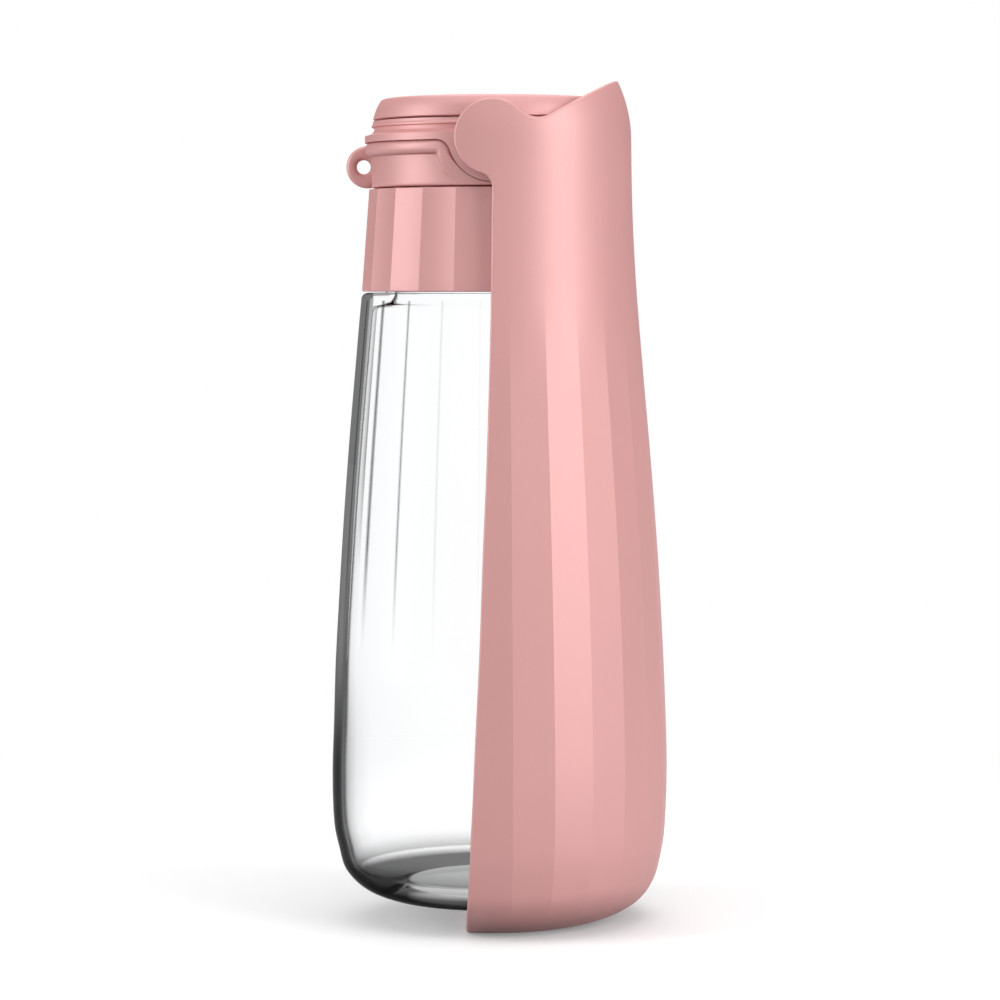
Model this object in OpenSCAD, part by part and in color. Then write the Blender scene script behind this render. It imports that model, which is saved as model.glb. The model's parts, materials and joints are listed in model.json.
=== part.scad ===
// Dog travel water bottle with a hinged half-shell trough.
// Origin: on the table, under the bottle's axis. +X is the way the trough faces, and
// the trough's hinge axis runs along Y. The bottle hangs from its head inside the
// trough, and the trough's flat foot stands on the table.

/* [Overall] */
// Height of the trough's hinge axis above the table
hinge_z = 185; // [170:1:200]
// Gap between neighbours that move past each other
run_gap = 0.3; // [0.25:0.05:0.35]
// Radial clearance of a shaft in its hole
fit_gap = 0.05; // [0.03:0.01:0.08]

/* [Trough] */
// Largest radius of the trough, over its facet edges
trough_r = 41.2; // [41:0.1:43]
// Radius of the flat that the trough stands on
trough_foot_r = 23.9; // [22:0.1:26]
// Wall of the trough
trough_wall = 1.4; // [1.2:0.1:1.5]
// Wall of the ball-shaped top
trough_ball_wall = 1.3; // [1:0.1:1.3]
// Number of facets round a full circle of the trough
trough_facets = 26; // [22:4:30]
// Radius of each hinge ear
ear_r = 8.9; // [8:0.1:9.5]
// Radius of the hollow under each ear
ear_fillet_r = 3.4; // [2.5:0.1:4]
// Distance that the trough's cut edge lies behind the hinge at the foot
cut_back = 6.25; // [4:0.25:8]
// Distance of the saddle's lowest point in front of the hinge
saddle_x = 10.6; // [10:0.1:11.5]
// Radius of the saddle between ear and beak
saddle_r = 6.3; // [5.5:0.1:7]
// Distance of the beak's tip inside the side of the ball-shaped top
beak_inset = 3.5; // [3.2:0.1:4.5]
// Height of the beak's tip above the hinge
beak_rise = 14.2; // [13.5:0.1:14.6]
// Radius of the stub axle inside each ear
stub_r = 1.8; // [1.6:0.1:2]

/* [Bottle] */
// Gap between the sides of bottle and trough
bottle_side_gap = 1; // [0.8:0.1:2]
// Gap left under the bottle when its collar has let it down
floor_gap = 1.3; // [1.2:0.1:2]
// Radius of the ring that the bottle stands on
bottle_foot_r = 27; // [24:0.5:27]
// Rounding of the shoulder's outer edge
shoulder_round = 1.6; // [1:0.1:2]
// Wall of the bottle
bottle_wall = 2; // [1.5:0.1:2.5]
// Thickness of the bottle's base
bottle_base = 4.5; // [3.5:0.1:6]
// Height that the base is pushed in underneath
punt_rise = 2; // [1:0.1:2.5]
// Number of facets round the bottle and its collar
bottle_facets = 22; // [18:2:26]
// Step from the spigot out to the outside of the bottle's neck
neck_step = 1.3; // [1.2:0.1:1.6]
// Wall of the bottle's neck
neck_wall = 2.5; // [2:0.1:3]

/* [Thread] */
// Travel of the bottle for one turn of the collar
thread_pitch = 3; // [2.8:0.1:3.2]
// Height of the thread above the neck
thread_depth = 1.3; // [1.1:0.05:1.35]
// Width of the thread at its root
thread_root = 1.2; // [1:0.05:1.3]
// Width of the thread at its crest
thread_crest = 0.7; // [0.5:0.05:0.8]
// Turns of thread on the neck and in the collar
thread_turns = 1.5; // [1.25:0.25:2]
// Height of the thread's start above the shoulder
thread_start = 4.6; // [4:0.1:5.5]
// Clearance between the neck's thread and the collar's bore
thread_gap = 0.4; // [0.35:0.05:0.6]

/* [Collar] */
// Height of the collar
collar_height = 24.1; // [23:0.1:25]
// Inset of the collar's lower edge from the bottle's shoulder
collar_inset = 0.15; // [0.1:0.05:0.4]
// Thickness of the lip that holds the collar on the spigot
collar_lip = 2.7; // [2:0.1:2.8]
// Wall of the collar at its top
collar_wall = 2.4; // [2.2:0.1:2.5]

/* [Head] */
// Depth of the joint between collar and head below the hinge axis
head_drop = 11.1; // [10.6:0.1:11.4]
// Radius of the ball that the whole head fits in, about the hinge
head_ball_r = 30.8; // [30.5:0.1:30.8]
// Inset of the head's lower sleeve from the ball
sleeve_inset = 1.6; // [1.4:0.1:2]
// Wall of the lower sleeve
sleeve_wall = 2.7; // [2.4:0.1:3]
// Wall of the head core's skirt
core_wall = 2.05; // [1.8:0.05:2.2]
// Height of the dark seat line under the hinge axis
seat_drop = 0.5; // [0.4:0.1:0.8]
// Height of the flared lip's edge
lip_height = 1.5; // [1.2:0.1:1.6]
// Height of the flare above the lip's edge
flare_height = 1; // [0.8:0.1:1]
// Thickness of the deck that carries the valve
deck_thick = 2.4; // [2:0.1:2.6]
// Margin of the lug round each hinge ear
lug_margin = 1.3; // [1:0.1:1.5]
// Width of the raised band round each lug
lug_band = 2.4; // [2:0.1:2.8]

/* [Carry eye] */
// Radius of the hole for a cord
eye_hole_r = 1.65; // [1.4:0.05:1.8]
// Shift of the hole from the middle of the eye, away from the sleeve
eye_hole_shift = 0.86; // [0.8:0.02:1]
// Depth that the eye is set into the sleeve
eye_sink = 4.06; // [3.8:0.02:4.4]
// Outer radius of the eye
eye_r = 5; // [4.6:0.1:5]
// Thickness of the eye
eye_thick = 2.9; // [2.5:0.1:3.5]
// Rounding of the eye's edge
eye_round = 1.1; // [0.8:0.1:1.2]

/* [Twist lid] */
// Inset of the lid's lower edge from the head's ball
lid_inset = 2; // [1.9:0.1:2.3]
// Height of the lid
lid_height = 5; // [4.6:0.1:5.4]
// Width of the rim round the well in the lid's top
rim_width = 6; // [5.3:0.1:7.5]
// Thickness of the well's floor
lid_floor = 1.6; // [1.4:0.1:2]
// Width of the grip bar across the well
grip_w = 8; // [7:0.1:9]
// Height of the fixed ring under the lid
stop_ring_height = 2.45; // [2.3:0.05:2.6]
// Wall of the fixed ring
stop_ring_wall = 3.2; // [3:0.1:3.3]
// Turn of the lid from closed to open
twist_angle = 90; // [60:5:90]
// Radius of the water port
port_r = 4; // [3:0.1:4.5]
// Distance of the water port and the air port from the axis
port_x = 14; // [13:0.1:15]
// Radius of the air port in lid and rotor
air_r = 1.6; // [1.2:0.1:2]

/* [Valve] */
// Thickness of the soft seal plate
seal_thick = 1; // [0.8:0.1:1.1]
// Radius of the stem that carries the lid
stem_r = 4; // [3.6:0.1:4.4]
// Width of the stem's square end
stem_square = 5; // [4.4:0.1:5.2]
// Radius of the hub under the deck
hub_r = 7; // [6.5:0.1:7.5]
// Height of the hub under the deck
hub_drop = 1.8; // [1.6:0.1:2.4]
// Radius of the screw's shank
screw_r = 1.2; // [1:0.05:1.3]
// Radius of the washer under the hub
washer_r = 6; // [5.5:0.1:6.5]
// Thickness of the washer
washer_thick = 0.9; // [0.8:0.1:1.2]

/* [Seals] */
// Thickness of the gasket on the bottle's mouth
gasket_thick = 1.5; // [1.3:0.1:1.6]
// Thickness of the spigot's flange
flange_thick = 1.3; // [1.2:0.1:1.4]
// Gap between the spigot's flange and the collar's bore
flange_gap = 0.5; // [0.4:0.1:0.8]
// Wall of the spigot
spigot_wall = 2; // [1.8:0.1:2.2]
// Gap between the spigot's top and the deck
spigot_top_gap = 3.4; // [3:0.1:4]
// Thickness of the slip washer on the flange
slip_thick = 0.7; // [0.6:0.05:0.75]
// Thickness of the cords of the two round seals
seal_cord = 1.1; // [1:0.05:1.2]

/* [Hidden] */
$fn = 96;

// One overrun serves every cut that has to pass through a face
over = 1;

pink = [0.90, 0.70, 0.68];
dusk_pink = [0.80, 0.60, 0.58];
clear = [0.86, 0.90, 0.92, 0.45];
soft_grey = [0.78, 0.78, 0.80];
white_nylon = [0.93, 0.92, 0.89];
steel = [0.72, 0.73, 0.75];

// Trough outline. Lower part: share of the way from foot radius to largest radius, share
// of the hinge's height. Upper part: the same from the ball's radius to the largest radius.
trough_foot_shares = [
    [0.171, 0.004], [0.437, 0.014], [0.651, 0.0275], [0.817, 0.047], [0.897, 0.071],
    [0.966, 0.108], [1, 0.184]
];
trough_side_shares = [
    [0.962, 0.27], [0.859, 0.378], [0.721, 0.486], [0.525, 0.604], [0.339, 0.703],
    [0.1505, 0.811], [0.063, 0.881], [0.016, 0.945]
];
// Cut edge of the trough: share of its distance behind the hinge, share of the hinge's height
cut_shares = [
    [1, 0], [0.748, 0.142], [0.577, 0.269], [0.455, 0.355], [0.324, 0.484], [0.197, 0.59],
    [0.103, 0.7], [0.045, 0.79], [0.018, 0.9]
];
// Height shares between which the trough's facets fade into a round top
trough_fade_share = 0.665;
trough_round_share = 0.82;
// Height share at which the facets have grown out of the foot
facet_grow_share = 0.06;

// Bottle outline, as the trough's: share of the radius step, share of foot to shoulder
bottle_foot_shares = [
    [0.145, 0.004], [0.364, 0.0125], [0.584, 0.027], [0.764, 0.047], [0.8555, 0.073],
    [0.968, 0.118], [1, 0.2]
];
bottle_side_shares = [
    [0.956, 0.29], [0.905, 0.395], [0.806, 0.51], [0.683, 0.632], [0.543, 0.748],
    [0.3755, 0.868], [0.2436, 0.96]
];
// Height shares between which the bottle's round lower part turns into facets
bottle_round_share = 0.31;
bottle_flat_share = 0.74;

// Share of faceting left on the rounded edge of the bottle's shoulder
shoulder_facet_share = 0.8;

// Steps between two outline points, and columns of a full turn for each facet
outline_steps = 2;
round_columns = 2;
flat_columns = 1;
thread_steps = 24;
// Share of the thread's height that is left at its very ends
thread_end_share = 0.05;

full_turn = 360;
half_turn = 180;
quarter_turn = 90;

// Radii of the head, inwards from its ball
sleeve_r = head_ball_r - sleeve_inset;
core_r = sleeve_r - sleeve_wall;
core_bore_r = core_r - core_wall;
lid_r = head_ball_r - lid_inset;
well_r = lid_r - rim_width;
stop_ring_bore = lid_r - stop_ring_wall;
disc_r = stop_ring_bore - run_gap * 2;
lug_r = ear_r + lug_margin;
eye_x = sleeve_r + eye_r - eye_sink;

// Radii of the trough's ball-shaped top, outwards from the head's ball
trough_in_r = head_ball_r + run_gap;
trough_ball_r = trough_in_r + trough_ball_wall;
beak_x = trough_ball_r - beak_inset;

// Radii of spigot, neck and collar
spigot_r = core_bore_r - fit_gap;
neck_r = spigot_r + neck_step;
neck_bore_r = neck_r - neck_wall;
collar_bore_r = neck_r + thread_depth + thread_gap;
collar_top_r = collar_bore_r + collar_wall;
collar_lip_r = spigot_r + run_gap;
flange_r = collar_bore_r - flange_gap;

// Radii of the bottle inside the trough
bottle_r = trough_r - trough_wall - bottle_side_gap;
bottle_waist_r = trough_ball_r - trough_wall - bottle_side_gap;
bottle_top_share = bottle_side_shares[len(bottle_side_shares) - 1][0];
bottle_top_r = lerp(bottle_waist_r, bottle_r, bottle_top_share) - shoulder_round / 4;
collar_low_r = bottle_top_r - collar_inset;

// Height at which the ball-shaped inside of the top takes over
ball_start_z = hinge_z - trough_ball_wall * 3;
// Saddle and fillets of the trough's side outline, measured from the hinge
saddle_to_hinge = ear_r + saddle_r;
saddle_z = leg(saddle_to_hinge, saddle_x);
fillet_to_hinge = ear_r + ear_fillet_r;
fillet_turn = asin(ear_fillet_r / fillet_to_hinge);
beak_run = beak_x - saddle_x;
beak_lift = beak_rise - saddle_z;
beak_reach = norm([beak_run, beak_lift]);
// Direction in which the saddle's arc runs out into the edge towards the beak
saddle_exit = atan2(beak_lift, beak_run) + asin(saddle_r / beak_reach);

// Levels from the head's lower edge down to the bottle's foot
head_z = hinge_z - head_drop;
collar_top_z = head_z - run_gap;
collar_bottom_z = collar_top_z - collar_height;
shoulder_z = collar_bottom_z - run_gap;
collar_lip_z = collar_top_z - collar_lip;
slip_z = collar_lip_z - run_gap - slip_thick;
flange_z = slip_z - flange_thick;
gasket_z = flange_z - gasket_thick;
mouth_z = gasket_z - fit_gap * 2;
bottle_foot_z = trough_wall + thread_pitch + floor_gap;
foot_to_shoulder = shoulder_z - bottle_foot_z;

// Levels of the head
seat_z = hinge_z - seat_drop;
lip_z = seat_z + lip_height + fit_gap * 2;
core_top_z = lip_z + flare_height;
lid_z = core_top_z + stop_ring_height + run_gap;
deck_top_z = core_top_z - seal_thick / 2;
deck_z = deck_top_z - deck_thick;
spigot_top_z = deck_z - spigot_top_gap;
rotor_z = deck_top_z + seal_thick + run_gap;
hub_z = deck_z - hub_drop;
stem_z = hub_z - run_gap;
square_z = rotor_z - run_gap;
flare_r = leg(head_ball_r, core_top_z - hinge_z) - flare_height * 2;

// Hinge, outwards along Y from the lug's blind pocket
bush_wall = 0.8;
bush_r = stub_r + fit_gap + bush_wall;
pocket_wall = 1.2;
pocket_y = stop_ring_bore;
boss_r = bush_r + pocket_wall;
friction_thick = 0.9;
friction_r = boss_r + pocket_wall;
friction_y = leg(head_ball_r, friction_r) - friction_thick;

// Other short side of a right-angled triangle
function leg(long, short) = sqrt(long * long - short * short);

function lerp(a, b, t) = a + (b - a) * t;

function ease(t) = let (u = max(0, min(1, t))) u * u * (3 - 2 * u);

// Running length at each point of an outline
function knots(p) =
    [for (i = 0, s = 0; i < len(p); i = i + 1, s = s + (i < len(p) ? norm(p[i] - p[i - 1]) : 0)) s];

function tangent(p, t, i) =
    let (a = max(0, i - 1), b = min(len(p) - 1, i + 1)) (p[b] - p[a]) / (t[b] - t[a]);

// Point at share u of the smooth span that starts at point i
function span_point(p, t, i, u) =
    let (h = t[i + 1] - t[i])
    (2 * u * u * u - 3 * u * u + 1) * p[i] + (3 * u * u - 2 * u * u * u) * p[i + 1]
    + (u * u * u - 2 * u * u + u) * h * tangent(p, t, i)
    + (u * u * u - u * u) * h * tangent(p, t, i + 1);

function smooth_outline(p) =
    let (t = knots(p))
    concat(
        [for (i = [0 : len(p) - 2], k = [0 : outline_steps - 1]) span_point(p, t, i, k / outline_steps)],
        [p[len(p) - 1]]
    );

// Outline moved inwards by a wall
function inset_outline(p, wall) =
    let (t = knots(p))
    [for (i = [0 : len(p) - 1]) let (d = tangent(p, t, i), n = norm(d)) p[i] + wall / n * [-d[1], d[0]]];

// Radius at an angle of a ring that is a polygon at weight 1 and a circle at weight 0
function facet_radius(r, angle, count, weight) =
    let (turn = full_turn / count, off = angle - turn * round(angle / turn))
    r * lerp(1, cos(turn / 2) / cos(off), weight);

// Closed solid of rings from bottom to top, each with its share of faceting
module faceted_turning(outline, weights, count, facet_columns) {
    columns = count * facet_columns;
    rings = len(outline);
    points = [
        for (i = [0 : rings - 1], c = [0 : columns - 1])
        let (
            angle = full_turn * c / columns + half_turn / count,
            r = facet_radius(outline[i][0], angle, count, weights[i])
        )
        [r * cos(angle), r * sin(angle), outline[i][1]]
    ];
    top = (rings - 1) * columns;
    low = [for (i = [0 : rings - 2]) i * columns];
    faces = concat(
        [for (a = low, c = [0 : columns - 1]) [a + c, a + columns + c, a + columns + (c + 1) % columns]],
        [for (a = low, c = [0 : columns - 1]) let (d = (c + 1) % columns) [a + c, a + columns + d, a + d]],
        [[for (c = [0 : columns - 1]) c]],
        [[for (c = [0 : columns - 1]) top + columns - 1 - c]]
    );
    polyhedron(points, faces);
}

// Screw ridge that fades in and out at its ends
module thread_ridge(root_r, crest_r, start_z) {
    count = thread_steps * thread_turns;
    fade = thread_steps / 12;
    rings = [
        for (k = [0 : count])
        let (
            angle = full_turn * k / thread_steps,
            rise = start_z + thread_pitch * k / thread_steps,
            grow = max(thread_end_share, min(1, k / fade, (count - k) / fade)),
            tip_r = lerp(root_r, crest_r, grow),
            section = [
                [root_r, -thread_root / 2], [tip_r, -thread_crest / 2],
                [tip_r, thread_crest / 2], [root_r, thread_root / 2]
            ]
        )
        [for (s = section) [s[0] * cos(angle), s[0] * sin(angle), rise + s[1]]]
    ];
    points = [for (ring = rings, p = ring) p];
    last = count * 4;
    // Faces as wound on an outer thread
    outer_faces = concat(
        [for (k = [0 : count - 1], e = [0 : 3]) [k * 4 + e, k * 4 + (e + 1) % 4, k * 4 + 4 + (e + 1) % 4]],
        [for (k = [0 : count - 1], e = [0 : 3]) [k * 4 + e, k * 4 + 4 + (e + 1) % 4, k * 4 + 4 + e]],
        [[3, 2, 1, 0], [last, last + 1, last + 2, last + 3]]
    );
    faces = crest_r > root_r
        ? outer_faces
        : [for (f = outer_faces) [for (i = [len(f) - 1 : -1 : 0]) f[i]]];
    polyhedron(points, faces, convexity = 4);
}

module ring(outer, inner, height) {
    difference() {
        cylinder(r = outer, h = height);
        translate([0, 0, -over]) cylinder(r = inner, h = height + over * 2);
    }
}

module torus(centre_r, cord) {
    rotate_extrude() translate([centre_r, 0]) circle(d = cord, $fn = 32);
}

// Cylinder lying along Y, from its near end outwards, on both sides of the head
module hinge_pair(r, near, far) {
    for (side = [1, -1])
        translate([0, side * near, hinge_z]) rotate([-90 * side, 0, 0]) cylinder(r = r, h = far - near);
}

function polar(r, angle) = [r * cos(angle), r * sin(angle)];

// Side outline of the trough, with the hinge at the origin
module trough_side() {
    fillet_dir = half_turn + quarter_turn - fillet_turn;
    saddle_dir = atan2(saddle_z, saddle_x);
    fillet_centre = polar(fillet_to_hinge, fillet_dir);
    saddle_centre = [saddle_x, saddle_z];
    steps = thread_steps;
    fillet_arc = [
        for (k = [0 : steps / 3])
        fillet_centre + polar(ear_fillet_r, (fillet_dir - half_turn) * k * 3 / steps)
    ];
    ear_arc = [for (k = [1 : steps]) polar(ear_r, lerp(fillet_dir, saddle_dir, k / steps))];
    saddle_start = saddle_dir - half_turn;
    saddle_end = saddle_exit - quarter_turn;
    saddle_arc = [
        for (k = [1 : steps / 2])
        saddle_centre + polar(saddle_r, lerp(saddle_start, saddle_end, k * 2 / steps))
    ];
    exit_point = saddle_arc[len(saddle_arc) - 1];
    beak_end = exit_point + polar(beak_reach * 2, saddle_exit);
    cut_edge = smooth_outline([for (s = cut_shares) [-cut_back * s[0], hinge_z * (s[1] - 1)]]);
    lowest = -hinge_z - over;
    polygon(concat(
        [[-cut_back, lowest]], cut_edge, fillet_arc, ear_arc, saddle_arc,
        [beak_end, [beak_end[0], lowest]]
    ));
}

// Points of an outline between a near radius and a wide one
function spread(shares, near_r, wide_r, start_z, height) =
    [for (s = shares) [lerp(near_r, wide_r, s[0]), start_z + s[1] * height]];

function ball_point(angle) = [trough_ball_r * cos(angle), hinge_z + trough_ball_r * sin(angle)];

module trough_solid(inset, top_z) {
    whole = smooth_outline(concat(
        [[trough_foot_r, 0]],
        spread(trough_foot_shares, trough_foot_r, trough_r, 0, hinge_z),
        spread(trough_side_shares, trough_ball_r, trough_r, 0, hinge_z),
        [for (angle = [0 : 8 : 32]) ball_point(angle)]
    ));
    inner = inset_outline(whole, inset);
    kept = [for (i = [0 : len(whole) - 1]) if (inner[i][1] < top_z) i];
    base = [for (i = kept) whole[i]];
    outline = [for (i = kept) inner[i]];
    weights = [
        for (p = base)
        ease(p[1] / hinge_z / facet_grow_share)
        * (1 - ease((p[1] / hinge_z - trough_fade_share) / (trough_round_share - trough_fade_share)))
    ];
    // One of the facets' edges points straight forward
    rotate([0, 0, half_turn / trough_facets])
        faceted_turning(outline, weights, trough_facets, round_columns);
}

module trough() color(pink) {
    difference() {
        intersection() {
            trough_solid(0, hinge_z + trough_ball_r);
            translate([0, 0, hinge_z])
                rotate([90, 0, 0])
                linear_extrude(height = trough_r * 2 + over, center = true)
                trough_side();
        }
        trough_solid(trough_wall, ball_start_z);
        translate([0, 0, hinge_z]) sphere(r = trough_in_r);
    }
    hinge_pair(stub_r, pocket_y + run_gap, trough_in_r + trough_ball_wall / 2);
}

module hinge_bushes() color(white_nylon) {
    difference() {
        hinge_pair(bush_r, pocket_y + run_gap, friction_y);
        hinge_pair(stub_r + fit_gap, pocket_y, friction_y + over);
    }
}

module friction_washers() color(soft_grey) {
    difference() {
        hinge_pair(friction_r, friction_y, friction_y + friction_thick - run_gap);
        hinge_pair(stub_r + fit_gap * 2, friction_y - over, friction_y + friction_thick);
    }
}

module bottle() color(clear) {
    punt_r = bottle_foot_r / 2;
    floor_z = bottle_foot_z + bottle_base;
    outline = concat(
        smooth_outline(concat(
            [[bottle_foot_r, bottle_foot_z]],
            spread(bottle_foot_shares, bottle_foot_r, bottle_r, bottle_foot_z, foot_to_shoulder),
            spread(bottle_side_shares, bottle_waist_r, bottle_r, bottle_foot_z, foot_to_shoulder),
            [[bottle_top_r, shoulder_z - shoulder_round]]
        )),
        [
            for (a = [30 : 30 : 90])
            [bottle_top_r - shoulder_round * (1 - cos(a)), shoulder_z - shoulder_round * (1 - sin(a))]
        ]
    );
    weights = [
        for (p = outline)
        let (share = (p[1] - bottle_foot_z) / foot_to_shoulder)
        ease((share - bottle_round_share) / (bottle_flat_share - bottle_round_share))
        * (p[1] > shoulder_z - shoulder_round ? shoulder_facet_share : 1)
    ];
    inside = inset_outline([for (p = outline) if (p[1] > bottle_foot_z + bottle_base * 2) p], bottle_wall);
    difference() {
        union() {
            faceted_turning(outline, weights, bottle_facets, round_columns);
            translate([0, 0, shoulder_z - shoulder_round])
                cylinder(r = neck_r, h = mouth_z - shoulder_z + shoulder_round);
            thread_ridge(neck_r - thread_depth / 2, neck_r + thread_depth, shoulder_z + thread_start);
        }
        rotate_extrude() polygon(concat(
            [
                [0, floor_z + punt_rise], [punt_r, floor_z + punt_rise],
                [bottle_foot_r - punt_rise, floor_z]
            ],
            [for (p = inside) if (p[1] < shoulder_z - shoulder_round - bottle_wall) p],
            [
                [neck_bore_r + bottle_wall, shoulder_z - shoulder_round - bottle_wall],
                [neck_bore_r, shoulder_z],
                [neck_bore_r, mouth_z + over],
                [0, mouth_z + over]
            ]
        ));
        translate([0, 0, bottle_foot_z - over])
            cylinder(r1 = bottle_foot_r - punt_rise + over, r2 = punt_r, h = punt_rise + over);
    }
}

module neck_gasket() color(soft_grey) {
    translate([0, 0, gasket_z]) ring(neck_r, neck_bore_r - run_gap * 2, gasket_thick);
}

module collar() color(pink) {
    difference() {
        union() {
            difference() {
                faceted_turning(
                    [[collar_low_r, collar_bottom_z], [collar_top_r, collar_top_z]],
                    [1, 1], bottle_facets, flat_columns
                );
                translate([0, 0, collar_bottom_z - over])
                    cylinder(r = collar_bore_r, h = collar_lip_z - collar_bottom_z + over);
            }
            thread_ridge(
                collar_bore_r + thread_depth / 2, neck_r + run_gap,
                shoulder_z + thread_start - thread_pitch / 2
            );
        }
        translate([0, 0, collar_lip_z - over]) cylinder(r = collar_lip_r, h = collar_lip + over * 2);
    }
}

module slip_ring() color(white_nylon) {
    translate([0, 0, slip_z]) ring(flange_r, collar_lip_r, slip_thick);
}

module spigot() color(dusk_pink) {
    groove_z = lerp(head_z, spigot_top_z, 0.5);
    difference() {
        union() {
            translate([0, 0, flange_z]) cylinder(r = flange_r, h = flange_thick);
            translate([0, 0, flange_z]) cylinder(r = spigot_r, h = spigot_top_z - flange_z);
        }
        translate([0, 0, flange_z - over])
            cylinder(r = spigot_r - spigot_wall, h = spigot_top_z - flange_z + over * 2);
        translate([0, 0, groove_z - seal_cord / 2 - fit_gap])
            ring(spigot_r + over, spigot_r - seal_cord, seal_cord + fit_gap * 2);
    }
}

module spigot_oring() color(soft_grey) {
    translate([0, 0, lerp(head_z, spigot_top_z, 0.5)]) torus(spigot_r - seal_cord / 2, seal_cord);
}

// Everything that may stand out of the head's sleeve, trimmed to the head's ball
module in_head_ball() {
    intersection() {
        children();
        translate([0, 0, hinge_z]) sphere(r = head_ball_r);
    }
}

module carry_eye() {
    flat = eye_thick / 2 - eye_round;
    translate([-eye_x, 0, hinge_z - eye_r - eye_round])
        rotate([90, 0, 0])
        rotate_extrude()
        polygon(concat(
            [[0, -eye_thick / 2]],
            [for (a = [-90 : 15 : 0]) [eye_r - eye_round + eye_round * cos(a), -flat + eye_round * sin(a)]],
            [for (a = [0 : 15 : 90]) [eye_r - eye_round + eye_round * cos(a), flat + eye_round * sin(a)]],
            [[0, eye_thick / 2]]
        ));
}

module neck_ring() color(pink) {
    band_r = head_ball_r - fit_gap * 2;
    band_height = lip_height * 1.4;
    band_top = seat_z - fit_gap * 2;
    difference() {
        union() {
            rotate_extrude() polygon([
                [core_r + fit_gap, head_z], [sleeve_r, head_z],
                [sleeve_r, band_top - band_height - lip_height / 3],
                [lerp(sleeve_r, band_r, 0.7), band_top - band_height],
                [band_r, band_top - band_height * 0.6],
                [band_r, band_top - band_height * 0.2],
                [band_r - band_height * 0.2, band_top],
                [core_r + fit_gap, band_top]
            ]);
            in_head_ball() intersection() {
                hinge_pair(lug_r + lug_band, core_r - over, head_ball_r);
                translate([0, 0, head_z]) cylinder(r = head_ball_r, h = band_top - head_z);
            }
            carry_eye();
        }
        translate([0, 0, head_z - over]) cylinder(r = core_r + fit_gap, h = lug_r * 2);
        hinge_pair(lug_r + fit_gap * 3, core_r - over * 4, head_ball_r + over);
        translate([-eye_x - eye_hole_shift, 0, hinge_z - eye_r - eye_round])
            rotate([90, 0, 0]) cylinder(r = eye_hole_r, h = eye_thick + over, center = true);
    }
}

module head_core() color(pink) {
    lip_r = head_ball_r - fit_gap * 2;
    difference() {
        union() {
            rotate_extrude() polygon([
                [core_bore_r, head_z], [core_r, head_z], [core_r, seat_z], [lip_r, seat_z], [lip_r, lip_z],
                [lerp(flare_r, lip_r, 0.45), lip_z + flare_height * 0.3],
                [lerp(flare_r, lip_r, 0.12), lip_z + flare_height * 0.65],
                [flare_r, core_top_z], [disc_r, core_top_z], [disc_r, deck_top_z],
                [0, deck_top_z], [0, deck_z], [core_bore_r, deck_z]
            ]);
            translate([0, 0, hub_z]) cylinder(r = hub_r, h = hub_drop + over);
            in_head_ball() intersection() {
                hinge_pair(lug_r, core_r - over, head_ball_r);
                translate([0, 0, head_z]) cylinder(r = head_ball_r, h = seat_z + lip_height / 2 - head_z);
            }
            difference() {
                hinge_pair(boss_r, pocket_y - pocket_wall, friction_y + fit_gap);
                translate([0, 0, deck_top_z]) cylinder(r = pocket_y, h = boss_r * 2);
            }
        }
        hinge_pair(bush_r + fit_gap, pocket_y, head_ball_r + over);
        hinge_pair(friction_r + fit_gap, friction_y, head_ball_r + over);
        translate([0, 0, hub_z - over])
            cylinder(r = stem_r + fit_gap, h = deck_thick + hub_drop + over * 2);
        translate([port_x, 0, deck_z - over]) cylinder(r = port_r, h = deck_thick + over * 2);
        translate([-port_x, 0, deck_z - over]) cylinder(r = screw_r + fit_gap, h = deck_thick + over * 2);
        for (turn = [45 : 90 : 315])
            translate([-port_x, 0, 0]) rotate([0, 0, turn]) translate([air_r * 1.6, 0, deck_z - over])
                cylinder(r = air_r / 3, h = deck_thick + over * 2);
    }
}

module stop_ring() color(pink) {
    tab_reach = pocket_wall + run_gap;
    swing = twist_angle / 2 + tab_half_angle() + run_gap * 2;
    difference() {
        translate([0, 0, core_top_z]) rotate_extrude() polygon([
            [stop_ring_bore, 0], [lid_r - run_gap, 0], [lid_r - run_gap, stop_ring_height * 0.36],
            [lid_r + run_gap, stop_ring_height * 0.44], [lid_r + run_gap, stop_ring_height * 0.6],
            [lid_r, stop_ring_height * 0.75], [lid_r, stop_ring_height], [stop_ring_bore, stop_ring_height]
        ]);
        translate([0, 0, core_top_z + stop_ring_height / 4]) rotate([0, 0, -swing])
            rotate_extrude(angle = swing * 2)
            translate([stop_ring_bore - over, 0])
            square([over + tab_reach, stop_ring_height]);
        hinge_pair(boss_r + fit_gap * 2, stop_ring_bore - over, lid_r + over);
    }
}

module seal_plate() color(soft_grey) {
    translate([0, 0, deck_top_z]) difference() {
        cylinder(r = disc_r - fit_gap, h = seal_thick);
        translate([0, 0, -over]) cylinder(r = stem_r + run_gap, h = seal_thick + over * 2);
        translate([port_x, 0, -over]) cylinder(r = port_r, h = seal_thick + over * 2);
        translate([-port_x, 0, -over]) cylinder(r = air_r * 2, h = seal_thick + over * 2);
    }
}

// Half of the angle that the stop tab takes up at the fixed ring's bore
function tab_half_angle() = asin(pocket_wall * 2 / stop_ring_bore);

// Water port and air port of the lid and rotor, shown closed
module turning_ports(bottom_z, height) {
    rotate([0, 0, -twist_angle]) {
        translate([port_x, 0, bottom_z - over]) cylinder(r = port_r, h = height + over * 2);
        translate([-port_x, 0, bottom_z - over]) cylinder(r = air_r, h = height + over * 2);
    }
}

module stem_socket(bottom_z, height) {
    side = stem_square + fit_gap * 2;
    translate([-side / 2, -side / 2, bottom_z]) cube([side, side, height]);
}

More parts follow.
